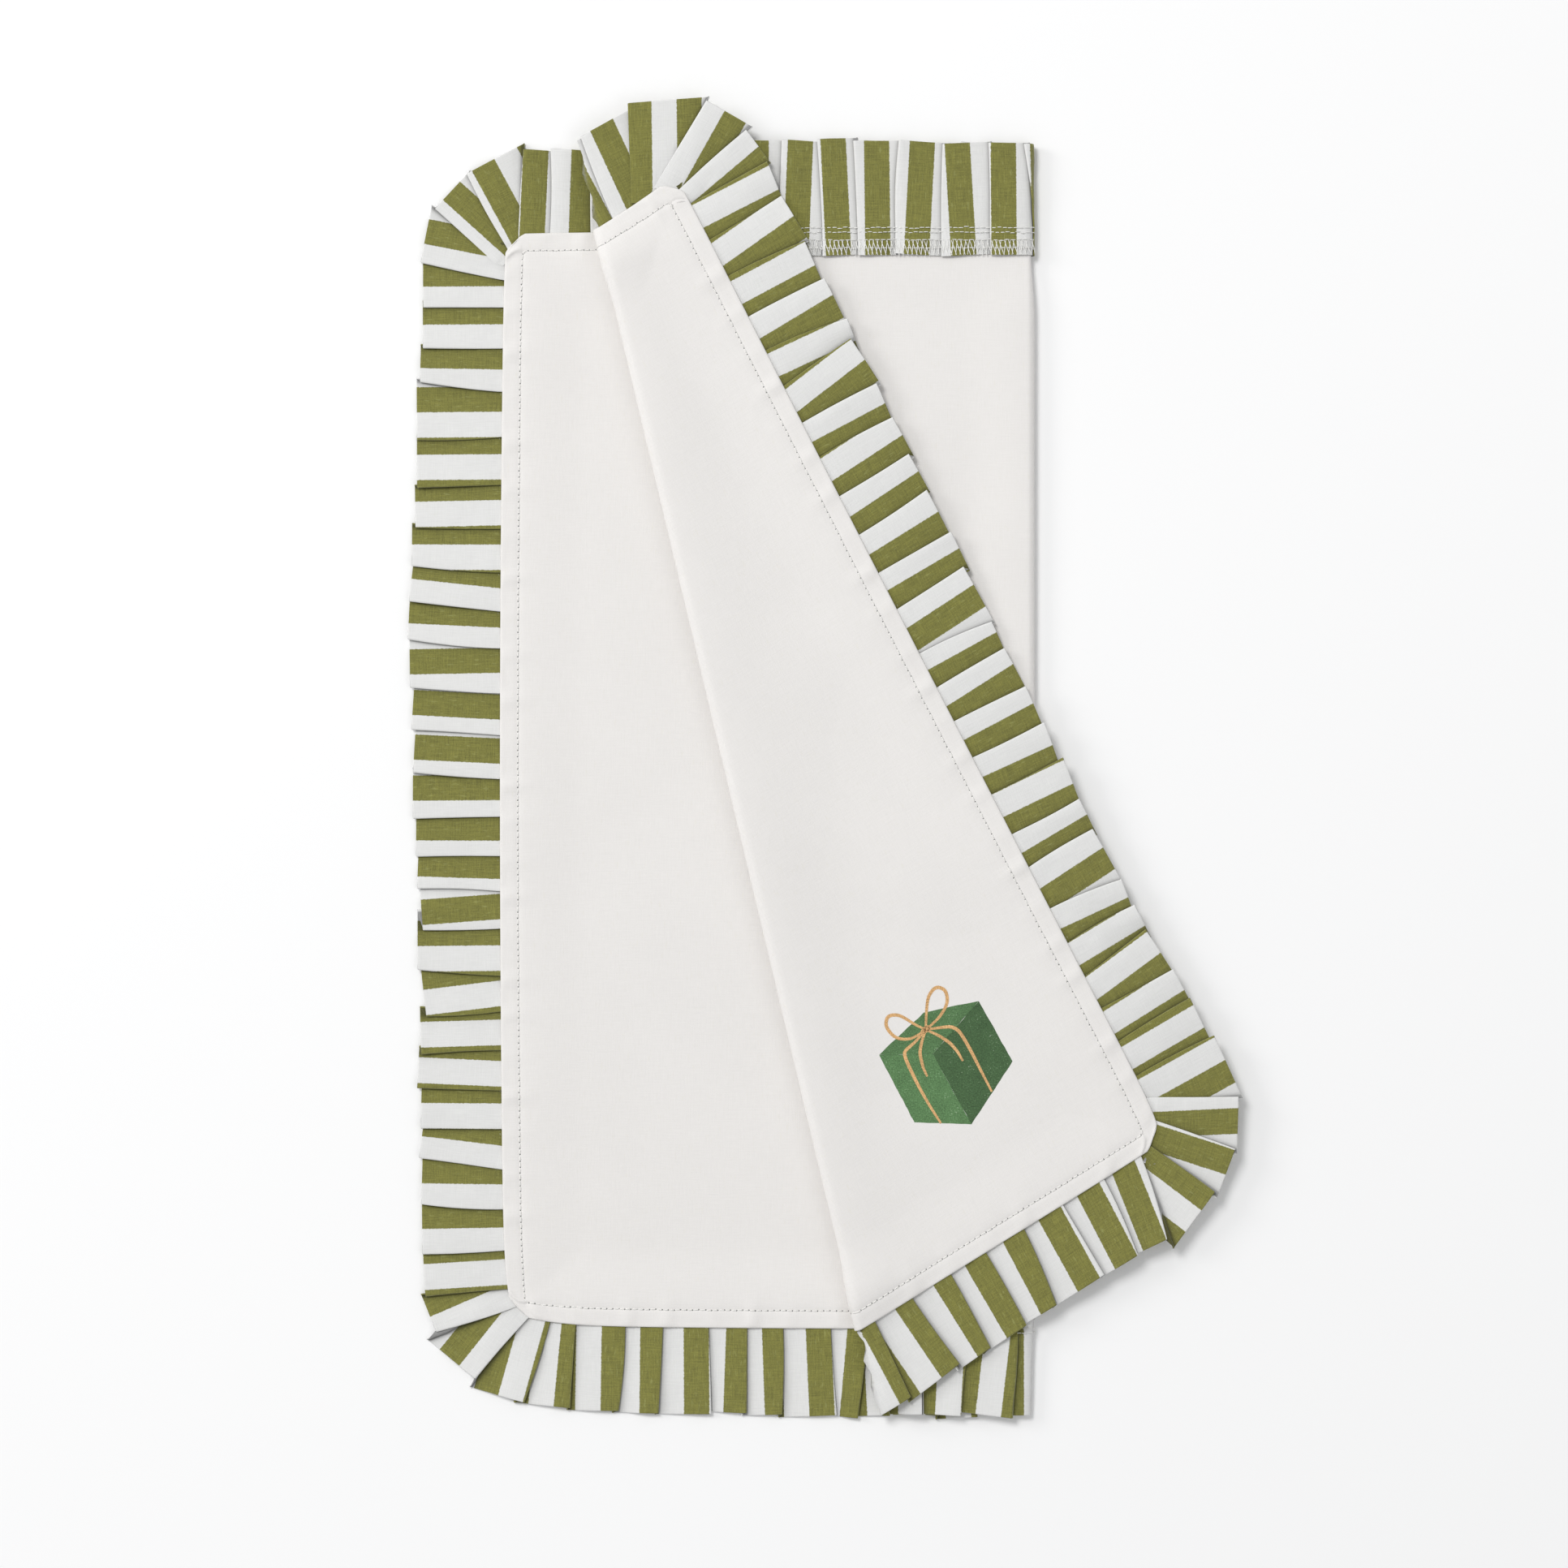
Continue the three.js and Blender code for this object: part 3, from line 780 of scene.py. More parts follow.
def striped_cotton():
    """White cotton with printed green stripes across the strip, darkened where shade is painted into its
    tucks.
    """
    sizes = bpy.context.scene.cover_sizes
    colours = bpy.context.scene.cover_colours
    material, tree, surface, cloth = blank_material("striped_cotton_weave", 0.88, 0.3)
    height, slub = weave(tree, cloth, STRIP_THREAD)
    pieces = node(tree, "ShaderNodeSeparateXYZ", {"Vector": cloth})
    edge = stretched(tree, cloth, 1.2, 1.2, 2.0, (3.0, 4.0, 0.0))
    beat = maths(tree, "PINGPONG", swung(tree, edge, 0.7, pieces.outputs[0]), sizes.stripe_width)
    half = sizes.stripe_width / 2
    band = stepped(tree, beat, half - 0.16, half + 0.16)
    white = varied(tree, constant(tree, colours.ground), slub, cloth, 0.12, (0.72, 0.74, 0.66), 0.25)
    lively = swung(tree, speckle(tree, cloth, 1.5, 2.0), 0.9, slub)
    green = varied(tree, constant(tree, colours.stripe), lively, cloth, 0.75, (0.34, 0.35, 0.12), 0.45)
    striped = mixed_colours(tree, band, white, green)
    # Painted shade: the cloth attribute's third value darkens the stripes in and beside each tuck.
    kept = node(tree, "ShaderNodeAttribute", attribute_name="cloth").outputs["Vector"]
    shade = node(tree, "ShaderNodeSeparateXYZ", {"Vector": kept}).outputs[2]
    light = maths(tree, "MULTIPLY_ADD", shade, -TUCK_SHADE, 1.0)
    finish_cloth(tree, surface, lit(tree, striped, light), height, 0.45)
    return material


def sewing_thread():
    """Off-white twisted thread."""
    colours = bpy.context.scene.cover_colours
    material, tree, surface, cloth = blank_material("sewing_thread", 0.7, 0.2)
    twist = speckle(tree, cloth, 2.2, 2.0)
    shade = maths(tree, "MULTIPLY_ADD", twist, 0.3, 0.85)
    finish_cloth(tree, surface, lit(tree, constant(tree, colours.thread), shade), twist, 0.4)
    return material


def needle_hole_shadow():
    """Painted shadow: dark colour for the shade inside the dent that a needle leaves in cotton."""
    material, tree, surface, cloth = blank_material("needle_hole_shadow", 0.95, 0.0)
    depth = speckle(tree, cloth, 1.4, 1.0)
    shaded = mixed_colours(tree, depth, (0.09, 0.09, 0.09, 1.0), (0.28, 0.28, 0.27, 1.0))
    tree.links.new(shaded, surface.inputs["Base Color"])
    return material


def print_ink(name, colour, wash):
    """Watercolour print on cotton: uneven washes with fine speckle over the weave."""
    material, tree, surface, cloth = blank_material(name, 0.9, 0.15)
    height, _ = weave(tree, cloth, PANEL_THREAD)
    pool = stretched(tree, cloth, 7.0, 7.0, 4.0, (1.0, 8.0, 0.0))
    speck = stretched(tree, cloth, 0.7, 0.7, 2.0)
    shade = swung(tree, speck, 1.6, swung(tree, pool, wash, 1.0))
    bare = maths(tree, "MULTIPLY_ADD", pool, 0.4, speck)
    paper = stepped(tree, bare, 0.88, 1.15)
    inked = mixed_colours(tree, paper, lit(tree, constant(tree, colour), shade), (0.72, 0.70, 0.64, 1.0))
    finish_cloth(tree, surface, inked, height, 0.4)
    return material


def material_for(name, make):
    """A material, made once."""
    return bpy.data.materials.get(name) or make()


# ---------------------------------------------------------------- shared state of one build


BUILT = {}


def cover_and_pleats():
    """The cover and its pleats, worked out once."""
    if "cover" not in BUILT:
        cover = Cover()
        cover.pleats = Pleats(cover)
        BUILT["cover"] = cover
    return BUILT["cover"], BUILT["cover"].pleats


def follow_half_fold(piece):
    """Bakes the piece's place into its mesh, for a piece on the lower half and the folded-over part."""
    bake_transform(piece)


def follow_crease(piece):
    """Bakes the piece's place into its mesh, for a piece on the folded-over part and the turned-back side.
    """
    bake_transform(piece)


# ---------------------------------------------------------------- plain cotton panels


# How far inside the seam the panel's evenly spaced rows begin, in millimetres.
EDGE_DEPTH = 18.0


def edge_profile(allowance):
    """Distances inside the seam and drops, from the turned-under edge out and back in."""
    under = [allowance - 1.0, 6.0, 2.0, 0.5]
    round_edge = [0.05, -0.1, 0.05]
    over = [0.5, 1.4, 3.0, 5.2, 7.0, 7.8, 8.4, 9.0, 9.9, 12.0, 14.5]
    drops = [1] * len(under) + [0.75, 0.5, 0.25] + [0] * len(over)
    return np.array(under + round_edge + over), np.array(drops)


def panel_grid(cover, x, column_drop, rows, row_drop):
    """Middle surface of a panel from flat columns (rows by columns) and flat rows."""
    y = np.broadcast_to(rows[:, None], x.shape)
    drop = np.maximum(column_drop[None, :], row_drop[:, None])
    height = cover.panel_height(x, y) - 0.5 * drop
    flat_x, flat_y = cover.warp(x, y)
    return cover.lay(flat_x, flat_y, height), np.stack([flat_x, flat_y, 0 * flat_x], axis=-1)


def slab(name, middle, cloth, thickness, material):
    """A closed thin sheet round a middle surface."""
    rows, columns = middle.shape[:2]
    normal = unit(np.cross(np.gradient(middle, axis=1), np.gradient(middle, axis=0)))
    top = (middle + normal * thickness / 2).reshape(-1, 3)
    low = (middle - normal * thickness / 2).reshape(-1, 3)
    count = rows * columns
    faces = [grid_faces(rows, columns), grid_faces(rows, columns, first=count, turned=True)]
    ring = np.concatenate(
        [
            np.arange(columns),
            np.arange(1, rows) * columns + columns - 1,
            (rows - 1) * columns + np.arange(columns - 2, -1, -1),
            np.arange(rows - 2, 0, -1) * columns,
        ]
    )
    after = np.roll(ring, -1)
    faces.append(np.stack([ring, ring + count, after + count, after], axis=-1))
    points = np.concatenate([top, low])
    both = np.concatenate([cloth.reshape(-1, 3)] * 2)
    return make_piece(name, points, np.concatenate(faces), material, both)


def profile_rows(cover, allowance, spacing):
    """Flat rows from the bottom seam to the top one, with the turned-under edges."""
    low, drop = edge_profile(allowance)
    inner = np.arange(EDGE_DEPTH, cover.height - EDGE_DEPTH, spacing)
    rows = np.concatenate([low, inner, cover.height - low[::-1]])
    return rows, np.concatenate([drop, 0 * inner, drop[::-1]])


def between(start, end, count):
    """Columns that part evenly between two slanting lines, without the first and the last."""
    share = np.linspace(0, 1, count + 2)[1:-1]
    return start[:, None] + (end - start)[:, None] * share


class COVER_OT_panels(bpy.types.Operator):
    """Build the plain cotton as one lower and one turned-back sheet"""

    bl_idname = "cover.panels"
    bl_label = "Cotton panels"

    # Distance between rows, and the columns of each flat part between its edge and the next fold.
    ROW_SPACING = 2.4
    LOWER_COLUMNS = 98
    FOLDED_COLUMNS = 56
    TURNED_COLUMNS = 50
    HALF_FOLD_COLUMNS = 19
    # Distances of the columns that bend round the slanting crease, closest where it turns.
    CREASE_COLUMNS = (0, 0.8, 1.4, 2.0, 2.6, 3.2, 3.8, 4.4, 5.0, 5.6, 7.0, 9.0, 11.5)

    def execute(self, context):
        sizes = context.scene.cover_sizes
        cover, _ = cover_and_pleats()
        cotton = material_for("plain_cotton_weave", plain_cotton)
        rows, row_drop = profile_rows(cover, sizes.allowance, self.ROW_SPACING)
        gaps, drops = edge_profile(sizes.allowance)
        cut = cover.crease_x(rows) - cover.crease_radius - 1.0
        mean_cut = float(cut.mean())
        ones = np.ones(len(rows))
        inner = 15.5
        before = cover.half - cover.fold_radius - 2
        after = cover.half + cover.fold_radius + 2
        lower = [
            ones[:, None] * gaps,
            between(inner * ones, before * ones, self.LOWER_COLUMNS),
            ones[:, None] * np.linspace(before, after, self.HALF_FOLD_COLUMNS),
            between(after * ones, cut, self.FOLDED_COLUMNS),
            cut[:, None],
        ]
        turned = [
            cut[:, None] + self.CREASE_COLUMNS,
            between(cut + self.CREASE_COLUMNS[-1], (cover.width - inner) * ones, self.TURNED_COLUMNS),
            ones[:, None] * (cover.width - gaps[::-1]),
        ]
        sheets = [
            ("cotton_lower_and_folded", lower, drops, follow_half_fold, mean_cut,
             ["panel_base", "panel_folded_over", "hem_left", "hem_top_base", "hem_bottom_base",
              "hem_top_folded_over", "hem_bottom_folded_over"],
             ["ruffle_left_above_join", "ruffle_bottom_base", "ruffle_top_base"]),
            ("cotton_turned_back", turned, drops[::-1], follow_crease, cover.width - mean_cut,
             ["panel_turned_back", "hem_side_turned_back", "hem_top_turned_back",
              "hem_bottom_turned_back"],
             ["panel_folded_over"]),
        ]
        for name, parts, edge_drop, follow, wide, nodes, below in sheets:
            columns = np.concatenate(parts, axis=1)
            flat = np.zeros(columns.shape[1] - len(drops))
            ends = [edge_drop, flat] if name == "cotton_lower_and_folded" else [flat, edge_drop]
            middle, cloth = panel_grid(cover, columns, np.concatenate(ends), rows, row_drop)
            piece = slab(name, middle, cloth, sizes.cloth_thickness, cotton)
            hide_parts(*nodes)
            follow(piece)
            BUILT[name] = piece
        return {"FINISHED"}


# ---------------------------------------------------------------- ruffle


class COVER_OT_ruffle(bpy.types.Operator):
    """Build the striped, doubled and knife-pleated strip round the four sides"""

    bl_idname = "cover.ruffle"
    bl_label = "Pleated ruffle"

    def execute(self, context):
        cover, pleats = cover_and_pleats()
        striped = material_for("striped_cotton_weave", striped_cotton)
        near = pleats.TURN_REACH
        bottom = cover.height
        side = bottom + cover.width
        top = side + cover.height
        # Places round the seam where one length of the strip ends and the next begins.
        over = bottom + cover.crease_x(-cover.ruffle) - 9
        back = top + cover.width - (cover.crease_x(cover.height - 14) - 9)
        marks = [-near, 17, bottom - cover.join, bottom - 17, bottom + 17, over, side - near, side + 20,
                 top - near, top + near, back, cover.round - near]
        cuts = [int(np.argmin(np.abs(pleats.folds - mark))) for mark in marks]
        cuts[5] = int(np.searchsorted(pleats.folds, over)) - 1
        cuts[10] = int(np.searchsorted(pleats.folds, back))
        folded = {"bottom": ["ruffle_bottom_folded_over"], "top": ["ruffle_top_folded_over"]}
        plan = [
            ("top_left", ["corner_top_left"], "base_half", []),
            ("left_upper", ["left_above_join"], "base_half", []),
            ("left_lower", ["left_below_join"], "base_half", []),
            ("bottom_left", ["corner_bottom_left"], "base_half", []),
            ("bottom", ["bottom_base", "bottom_folded_over"], "half", []),
            ("turned_bottom", ["bottom_turned_back"], "crease", folded["bottom"]),
            ("turned_low_corner", ["corner_bottom_turned_back"], "turned_back_side", []),
            ("turned_side", ["side_turned_back"], "turned_back_side", ["panel_folded_over"]),
            ("turned_top_corner", ["corner_top_turned_back"], "turned_back_side", folded["top"]),
            ("turned_top", ["top_turned_back"], "crease", folded["top"]),
            ("top", ["top_folded_over", "top_base"], "half", []),
        ]
        for i, (name, nodes, moves, below) in enumerate(plan):
            if cuts[i + 1] <= cuts[i]:
                raise RuntimeError(f"ruffle_{name} has no pleats")
            piece, fabric = build_strip("ruffle_" + name, pleats, cuts[i], cuts[i + 1], striped)
            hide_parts(*["ruffle_" + part for part in nodes])
            if moves == "half":
                follow_half_fold(piece)
            elif moves == "crease":
                follow_crease(piece)
            else:
                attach(piece, moves)
        return {"FINISHED"}


# ---------------------------------------------------------------- stitching


def tubes(centres, up, radii, sides=6):
    """Short tubes along rows of points: centres is tubes by points by 3."""
    along = unit(np.gradient(centres, axis=1))
    side = unit(np.cross(along, up))
    rise = np.cross(side, along)
    angle = np.linspace(0, FULL_TURN, sides, endpoint=False)
    ring = side[:, :, None] * np.cos(angle)[:, None] + rise[:, :, None] * np.sin(angle)[:, None]
    points = centres[:, :, None] + ring * np.asarray(radii)[None, :, None, None]
    count, length = centres.shape[:2]
    n, k, s = np.meshgrid(np.arange(count), np.arange(length - 1), np.arange(sides), indexing="ij")
    first = (n * length + k) * sides
    after = (s + 1) % sides
    faces = np.stack([first + s, first + after, first + sides + after, first + sides + s], axis=-1)
    return points.reshape(-1, 3), faces.reshape(-1, 4)[:, ::-1]


def halves(kind, third):
    """Stitches on the lower and the turned-back sheet: their name, which, the function that bakes them and
    CAD nodes.
    """
    lower = [kind + "_base", kind + "_top_folded_over", kind + "_bottom_folded_over"]
    turned = [kind + "_turned_back"]
    return [("lower", ~third, follow_half_fold, lower), ("turned", third, follow_crease, turned)]


def sew(name, nodes, follow, centres, up, radii, sides=6):
    """One piece of thread made of many stitches."""
    thread = material_for("sewing_thread", sewing_thread)
    points, faces = tubes(centres, up, radii, sides)
    piece = make_piece(name, points, faces, thread, points)
    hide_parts(*nodes)
    follow(piece)


def panel_spots(cover, x, y, above):
    """Points just above the panel's right side, and its upward direction there."""
    def middle(dx, dy):
        a, b = x + dx, y + dy
        flat_x, flat_y = cover.warp(a, b)
        return cover.lay(flat_x, flat_y, cover.panel_height(a, b))

    up = unit(np.cross(middle(0.3, 0) - middle(-0.3, 0), middle(0, 0.3) - middle(0, -0.3)))
    return middle(0, 0) + up * np.asarray(above)[..., None], up


def inset_path(cover, inset, pitch):
    """Evenly spaced places round the panel, inset from its seam, with rounded corners."""
    w, h, near = cover.width - 2 * inset, cover.height - 2 * inset, 2.5
    corners = [(0, h), (0, 0), (w, 0), (w, h)]
    points = []
    for i, (x, y) in enumerate(corners):
        before = unit(np.array(corners[i - 1], float) - (x, y))
        after = unit(np.array(corners[(i + 1) % 4], float) - (x, y))
        for share in np.linspace(0, 1, 7):
            a = np.array([x, y]) + before * near * (1 - share) ** 2 + after * near * share ** 2
            points.append(a + inset)
    points = np.array(points + [points[0]])
    length = np.concatenate([[0], np.cumsum(np.linalg.norm(np.diff(points, axis=0), axis=1))])
    return points, length, int(length[-1] / pitch)


class COVER_OT_topstitch(bpy.types.Operator):
    """Sew the topstitch round the panel, with dark discs painted as shadow in its needle holes"""

    bl_idname = "cover.topstitch"
    bl_label = "Topstitch"

    # Dark discs painted as the shadow in each needle hole: radius, rise above the stitch's end and sides.
    HOLE_RADIUS = 0.42
    HOLE_RISE = 0.34
    HOLE_SIDES = 6

    def execute(self, context):
        sizes = context.scene.cover_sizes
        cover, _ = cover_and_pleats()
        hole = material_for("needle_hole_shadow", needle_hole_shadow)
        rng = np.random.default_rng(5)
        path, length, count = inset_path(cover, sizes.topstitch_inset, sizes.stitch_pitch)
        pitch = length[-1] / count
        middle = (np.arange(count) + 0.5) * pitch + rng.normal(0, 0.07, count)
        reach = np.array([-1.28, -1.05, -0.6, 0, 0.6, 1.05, 1.28])
        above = np.array([-0.05, 0.30, 0.40, 0.43, 0.40, 0.30, -0.05])
        radii = np.array([0.10, 0.20, 0.26, 0.27, 0.26, 0.20, 0.10])
        at = np.mod(middle[:, None] + reach, length[-1])
        x = np.interp(at, length, path[:, 0]) + rng.normal(0, 0.09, (count, 1))
        y = np.interp(at, length, path[:, 1]) + rng.normal(0, 0.09, (count, 1))
        centres, up = panel_spots(cover, x, y, np.broadcast_to(above, x.shape))
        third = x[:, 3] > cover.crease_x(y[:, 3]) - cover.crease_radius - 1.0
        angle = np.linspace(0, FULL_TURN, self.HOLE_SIDES, endpoint=False)[:, None]
        for name, kept, follow, nodes in halves("topstitch", third):
            sew("topstitch_" + name, nodes, follow, centres[kept], up[kept], radii)
            # Painted shadow: a dark disc over each stitch's end, where its needle hole is.
            rise = up[kept][:, -1]
            spots = centres[kept][:, -1] + rise * self.HOLE_RISE
            side = unit(np.cross(rise, [0.3, 1.0, 0.1]))
            ring = side[:, None] * np.cos(angle) + np.cross(rise, side)[:, None] * np.sin(angle)
            disc = (spots[:, None] + self.HOLE_RADIUS * ring).reshape(-1, 3)
            rings = np.arange(len(disc)).reshape(-1, self.HOLE_SIDES)
            holes = make_piece("needle_hole_shadows_" + name, disc, rings, hole, disc)
            follow(holes)
        return {"FINISHED"}


class COVER_OT_overlock(bpy.types.Operator):
    """Sew the seam rows and the overlock threads on the wrong side"""

    bl_idname = "cover.overlock"
    bl_label = "Seam and overlock threads"

    # Distance outside the seam and stitch length of each straight row, then the overlock's pitch.
    STRAIGHT_ROWS = ((1.3, 2.7), (-0.9, 2.5), (-4.6, 2.9), (-8.6, 3.06))
    LOOP_PITCH = 2.15
    LOOP_INNER = -4.8
    LOOP_OUTER = -12.1

    def execute(self, context):
        cover, pleats = cover_and_pleats()
        rng = np.random.default_rng(6)
        centres, ups, third = [], [], []

        def add(place, r, height):
            x, y = pleats.spot(place, r)
            low = cover.lay(x, y, height)
            high = cover.lay(x, y, height + 0.5)
            centres.append(low)
            ups.append(unit(high - low))
            third.append(x[:, 2] > cover.crease_x(y[:, 2]) - cover.crease_radius)

        for row, pitch in self.STRAIGHT_ROWS:
            count = int(cover.round / pitch)
            middle = -pleats.TURN_REACH + (np.arange(count) + 0.5) * cover.round / count
            reach = np.array([-1.0, -0.55, 0, 0.55, 1.0]) * pitch * 0.42
            place = middle[:, None] + reach + rng.normal(0, 0.06, (count, 1))
            r = row + rng.normal(0, 0.16, (count, 1)) + 0 * place
            height = np.array([0.35, 0.05, 0.0, 0.05, 0.35]) + 0 * place
            add(place, r, height)
        count = int(cover.round / self.LOOP_PITCH)
        first = -pleats.TURN_REACH + np.arange(count) * cover.round / count
        inner, outer = self.LOOP_INNER, self.LOOP_OUTER
        for start, end, shift in ((inner, outer, 1.35), (outer, inner, 0.45)):
            share = np.linspace(0, 1, 5)
            r = start + (end - start) * share + rng.normal(0, 0.12, (count, 1))
            lean = 0.9 if end < start else 0.0
            place = first[:, None] + lean + (share - 0.5) * shift * 1.9 + rng.normal(0, 0.16, (count, 1))
            height = np.array([0.12, 0.0, -0.02, 0.0, 0.12]) + rng.normal(0, 0.015, (count, 1))
            add(place, r, height)
        centres = np.concatenate(centres)
        ups = np.concatenate(ups)
        third = np.concatenate(third)
        radii = (0.14, 0.20, 0.22, 0.20, 0.14)
        for name, kept, follow, nodes in halves("overlock", third):
            sew("seam_threads_" + name, nodes, follow, centres[kept], ups[kept], radii, sides=5)
        return {"FINISHED"}


# ---------------------------------------------------------------- print


class PrintCloth:
    """Lays flat shapes on the turned-back sheet."""

    def __init__(self, piece, centre):
        mesh = piece.data
        self.tree = BVHTree.FromPolygons([v.co for v in mesh.vertices], [f.vertices for f in mesh.polygons])
        self.centre = centre

    def drop(self, flat, above):
        """Points on the cloth under flat ones, which are in millimetres from the print's middle."""
        laid = []
        for x, y in np.asarray(flat).reshape(-1, 2) + self.centre:
            hit = self.tree.ray_cast(Vector((x * MM, y * MM, 0.05)), Vector((0, 0, -1)))
            if hit[0] is None:
                raise RuntimeError("the print runs off the cloth")
            laid.append((x, y, hit[0].z / MM + above))
        return np.array(laid)


def patch(corners, count=22, stray=0.35, seed=0):
    """Grid of points over four corners, with slightly uneven edges."""
    a, b, c, d = np.array(corners, float)
    u, v = np.meshgrid(np.linspace(0, 1, count), np.linspace(0, 1, count), indexing="ij")
    u, v = u[..., None], v[..., None]
    flat = a * (1 - u) * (1 - v) + b * u * (1 - v) + c * u * v + d * (1 - u) * v
    x, y = flat[..., 0], flat[..., 1]
    shift = np.stack([ripple(x, y, seed, 6), ripple(x, y, seed + 1, 6)], axis=-1)
    return flat + stray * shift


def stroke(points, width, count=40):
    """A brush stroke as a strip of points along a smooth line, thinner at its ends."""
    points = np.array(points, float)
    at = np.linspace(0, len(points) - 1, count)
    known = np.arange(len(points))
    line = np.stack([np.interp(at, known, points[:, i]) for i in range(2)], axis=-1)
    for _ in range(6):
        line[1:-1] = (line[:-2] + 2 * line[1:-1] + line[2:]) / 4
    along = unit(np.gradient(line, axis=0))
    side = np.stack([-along[:, 1], along[:, 0]], axis=-1)
    wide = width / 2 * (0.55 + 0.45 * np.sin(np.linspace(0.12, math.pi - 0.12, count)))[:, None, None]
    across = np.array([-1.0, -0.4, 0.4, 1.0])[None, :, None]
    return line[:, None] + side[:, None] * across * wide


class COVER_OT_gift_print(bpy.types.Operator):
    """Print a small wrapped box near the corner of the turned-back side"""

    bl_idname = "cover.gift_print"
    bl_label = "Printed box"

    # The print's middle, in millimetres from the foot of the slanting crease.
    PLACE = (43.2, 129.2)

    def execute(self, context):
        cover, _ = cover_and_pleats()
        colours = context.scene.cover_colours
        centre = cover.foot + np.array(self.PLACE)
        cloth = PrintCloth(BUILT["cotton_turned_back"], centre)
        west, back, east, middle = (-33.0, 4.6), (-11.0, 25.4), (16.0, 31.0), (-6.5, 5.0)
        right, foot, left_foot = (32.6, 1.4), (12.4, -29.4), (-15.6, -28.4)
        mid_green = tuple(0.72 * a + 0.28 * b for a, b in zip(colours.box_light, colours.box_dark))
        shades = {
            "print_box_left": (colours.box_light, [west, middle, foot, left_foot]),
            "print_box_right": (colours.box_dark, [middle, east, right, foot]),
            "print_box_top": (mid_green, [west, back, east, middle]),
        }
        for seed, (name, (colour, corners)) in enumerate(shades.items()):
            flat = patch(corners, stray=0.10, seed=40 + seed)
            ink = print_ink(name.replace("print", "ink"), colour, 0.5)
            points = cloth.drop(flat, 0.05)
            piece = make_piece(name, points, grid_faces(22, 22, turned=True), ink, points)
            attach(piece, "turned_back_side")
        knot = (-10.0, 17.0)
        lines = [
            ([knot, (-15, 11), (-20.5, 6.5), (-20.3, 3.4), (-15, -8), (-9, -19), (-2.6, -28.9)], 1.7),
            ([knot, (-3, 18), (2.5, 18.6), (6.5, 16.5), (12, 7), (17.5, -4), (22.4, -13.4)], 1.7),
            ([knot, (-15.5, 19.5), (-23, 24.5), (-29, 24), (-30, 18.5), (-25, 12.5), (-17, 12), knot], 1.7),
            ([knot, (-9.8, 25), (-9, 33.5), (-5, 38.5), (0, 36.5), (1, 30), (-3.5, 22.5), knot], 1.7),
            ([knot, (-12, 11), (-13, 5.5), (-11.4, -1.5), (-9.3, -6.0)], 1.6),
            ([knot, (-3.4, 14), (2, 10.4), (5.6, 6.2), (8.2, 1.6)], 1.6),
            ([(-12.0, 15.4), (-8.2, 18.6)], 3.0),
        ]
        points, faces, first = [], [], 0
        for path, width in lines:
            flat = stroke(path, width)
            laid = cloth.drop(flat, 0.10)
            points.append(laid)
            faces.append(grid_faces(*flat.shape[:2], first=first, turned=True))
            first += len(laid)
        ink = print_ink("ink_ribbon", colours.ribbon, 0.8)
        points = np.concatenate(points)
        ribbon = make_piece("print_ribbon", points, np.concatenate(faces), ink, points)
        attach(ribbon, "turned_back_side")
        return {"FINISHED"}


# ---------------------------------------------------------------- stage


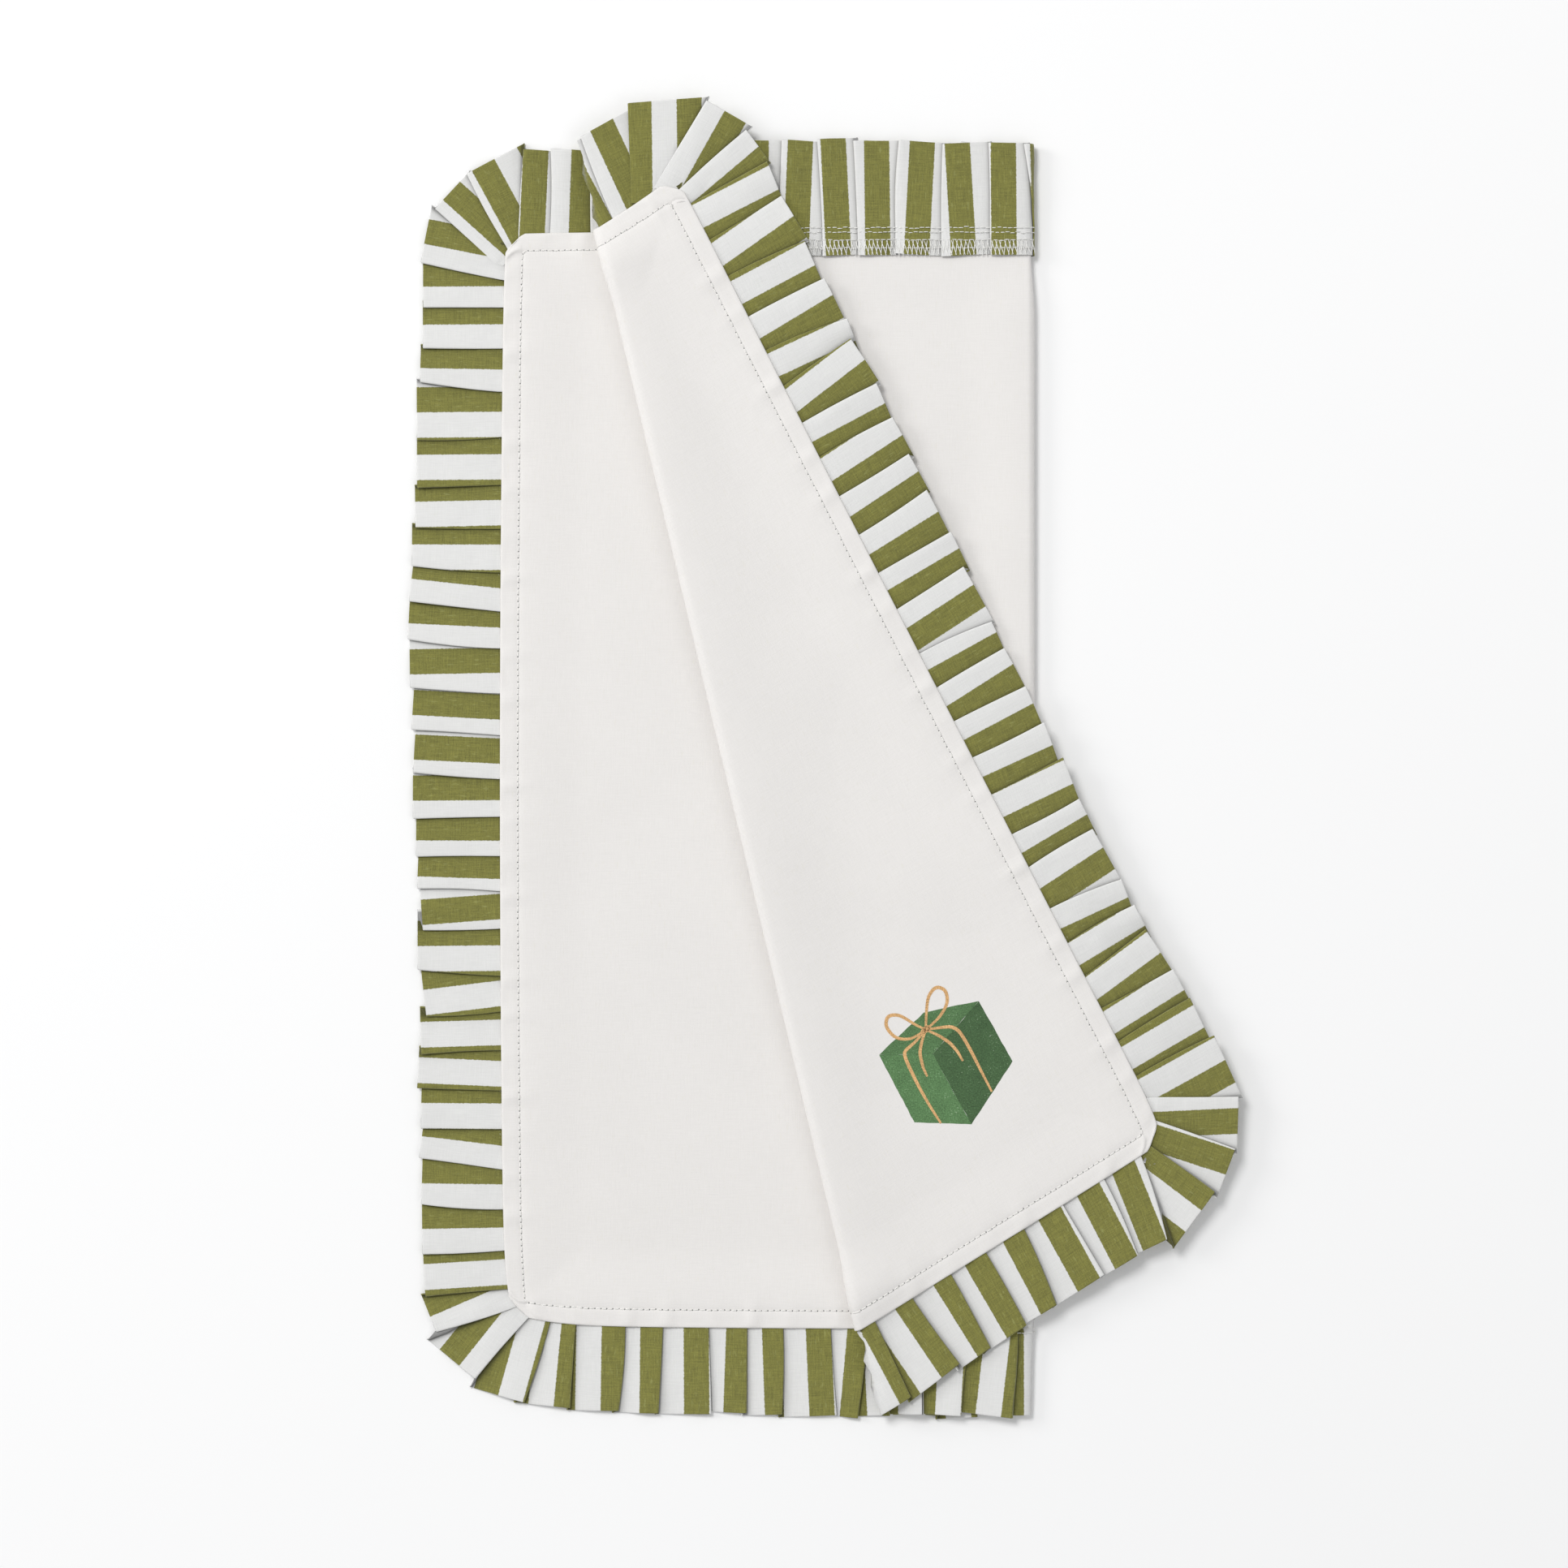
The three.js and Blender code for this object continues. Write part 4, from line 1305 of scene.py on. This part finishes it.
class COVER_OT_stage(bpy.types.Operator):
    """Set up the pale floor, the soft lights and the camera above"""

    bl_idname = "cover.stage"
    bl_label = "Floor, lights and camera"

    def execute(self, context):
        stage = context.scene.stage_sizes
        colours = context.scene.cover_colours
        low, high = CAD_BOX
        middle = (low + high) / 2
        mesh = bpy.data.meshes.new("floor")
        far = 6.0
        corners = [(-far, -far, low.z), (far, -far, low.z), (far, far, low.z), (-far, far, low.z)]
        mesh.from_pydata(corners, [], [(0, 1, 2, 3)])
        floor = bpy.data.objects.new("floor", mesh)
        context.scene.collection.objects.link(floor)
        paint = bpy.data.materials.new("pale_floor")
        paint.use_nodes = True
        surface = paint.node_tree.nodes["Principled BSDF"]
        surface.inputs["Base Color"].default_value = (*colours.floor, 1.0)
        surface.inputs["Roughness"].default_value = 0.8
        surface.inputs["Specular IOR Level"].default_value = 0.2
        mesh.materials.append(paint)
        lights = [
            ("key_light", (-1.6, 1.9, 3.6), 1.6, stage.key_power),
            ("fill_light", (2.2, -1.2, 3.4), 2.4, stage.fill_power),
            ("side_light", (-6.0, 2.2, 3.0), 2.6, stage.side_power),
        ]
        for name, place, size, power in lights:
            lamp = bpy.data.lights.new(name, "AREA")
            lamp.shape = "DISK"
            lamp.size = size
            lamp.energy = power
            made = bpy.data.objects.new(name, lamp)
            made.location = Vector(place)
            aim = middle - made.location
            made.rotation_euler = aim.to_track_quat("-Z", "Y").to_euler()
            context.scene.collection.objects.link(made)
        world = bpy.data.worlds.new("studio")
        world.use_nodes = True
        world.node_tree.nodes["Background"].inputs["Color"].default_value = (0.97, 0.985, 1.0, 1.0)
        world.node_tree.nodes["Background"].inputs["Strength"].default_value = stage.sky
        context.scene.world = world
        camera = bpy.data.cameras.new("camera")
        camera.lens = 100.0
        camera.sensor_width = 36.0
        camera.clip_start = 0.05
        made = bpy.data.objects.new("camera", camera)
        made.location = (middle.x + stage.camera_side, middle.y + stage.camera_back, stage.camera_height)
        context.scene.collection.objects.link(made)
        context.scene.camera = made
        context.scene.view_settings.view_transform = "Standard"
        return {"FINISHED"}


class COVER_PT_panel(bpy.types.Panel):
    """Lists the pieces of the cover"""

    bl_idname = "COVER_PT_panel"
    bl_label = "Folded cover"
    bl_space_type = "VIEW_3D"
    bl_region_type = "UI"
    bl_category = "Cover"

    def draw(self, context):
        for operator in OPERATORS:
            self.layout.operator(operator.bl_idname)


OPERATORS = [
    COVER_OT_stage,
    COVER_OT_panels,
    COVER_OT_ruffle,
    COVER_OT_topstitch,
    COVER_OT_overlock,
    COVER_OT_gift_print,
]
GROUPS = [CoverSizes, CoverColours, StageSizes]


def register():
    """Registers the classes and the settings."""
    for made in (*GROUPS, *OPERATORS, COVER_PT_panel):
        bpy.utils.register_class(made)
    bpy.types.Scene.cover_sizes = bpy.props.PointerProperty(type=CoverSizes)
    bpy.types.Scene.cover_colours = bpy.props.PointerProperty(type=CoverColours)
    bpy.types.Scene.stage_sizes = bpy.props.PointerProperty(type=StageSizes)


def unregister():
    """Takes the settings and the classes away."""
    del bpy.types.Scene.stage_sizes
    del bpy.types.Scene.cover_colours
    del bpy.types.Scene.cover_sizes
    for made in reversed((*GROUPS, *OPERATORS, COVER_PT_panel)):
        bpy.utils.unregister_class(made)


def main():
    """Builds every piece in order."""
    register()
    bpy.ops.cover.stage()
    bpy.ops.cover.panels()
    bpy.ops.cover.ruffle()
    bpy.ops.cover.topstitch()
    bpy.ops.cover.overlock()
    bpy.ops.cover.gift_print()


if __name__ == "__main__":
    main()
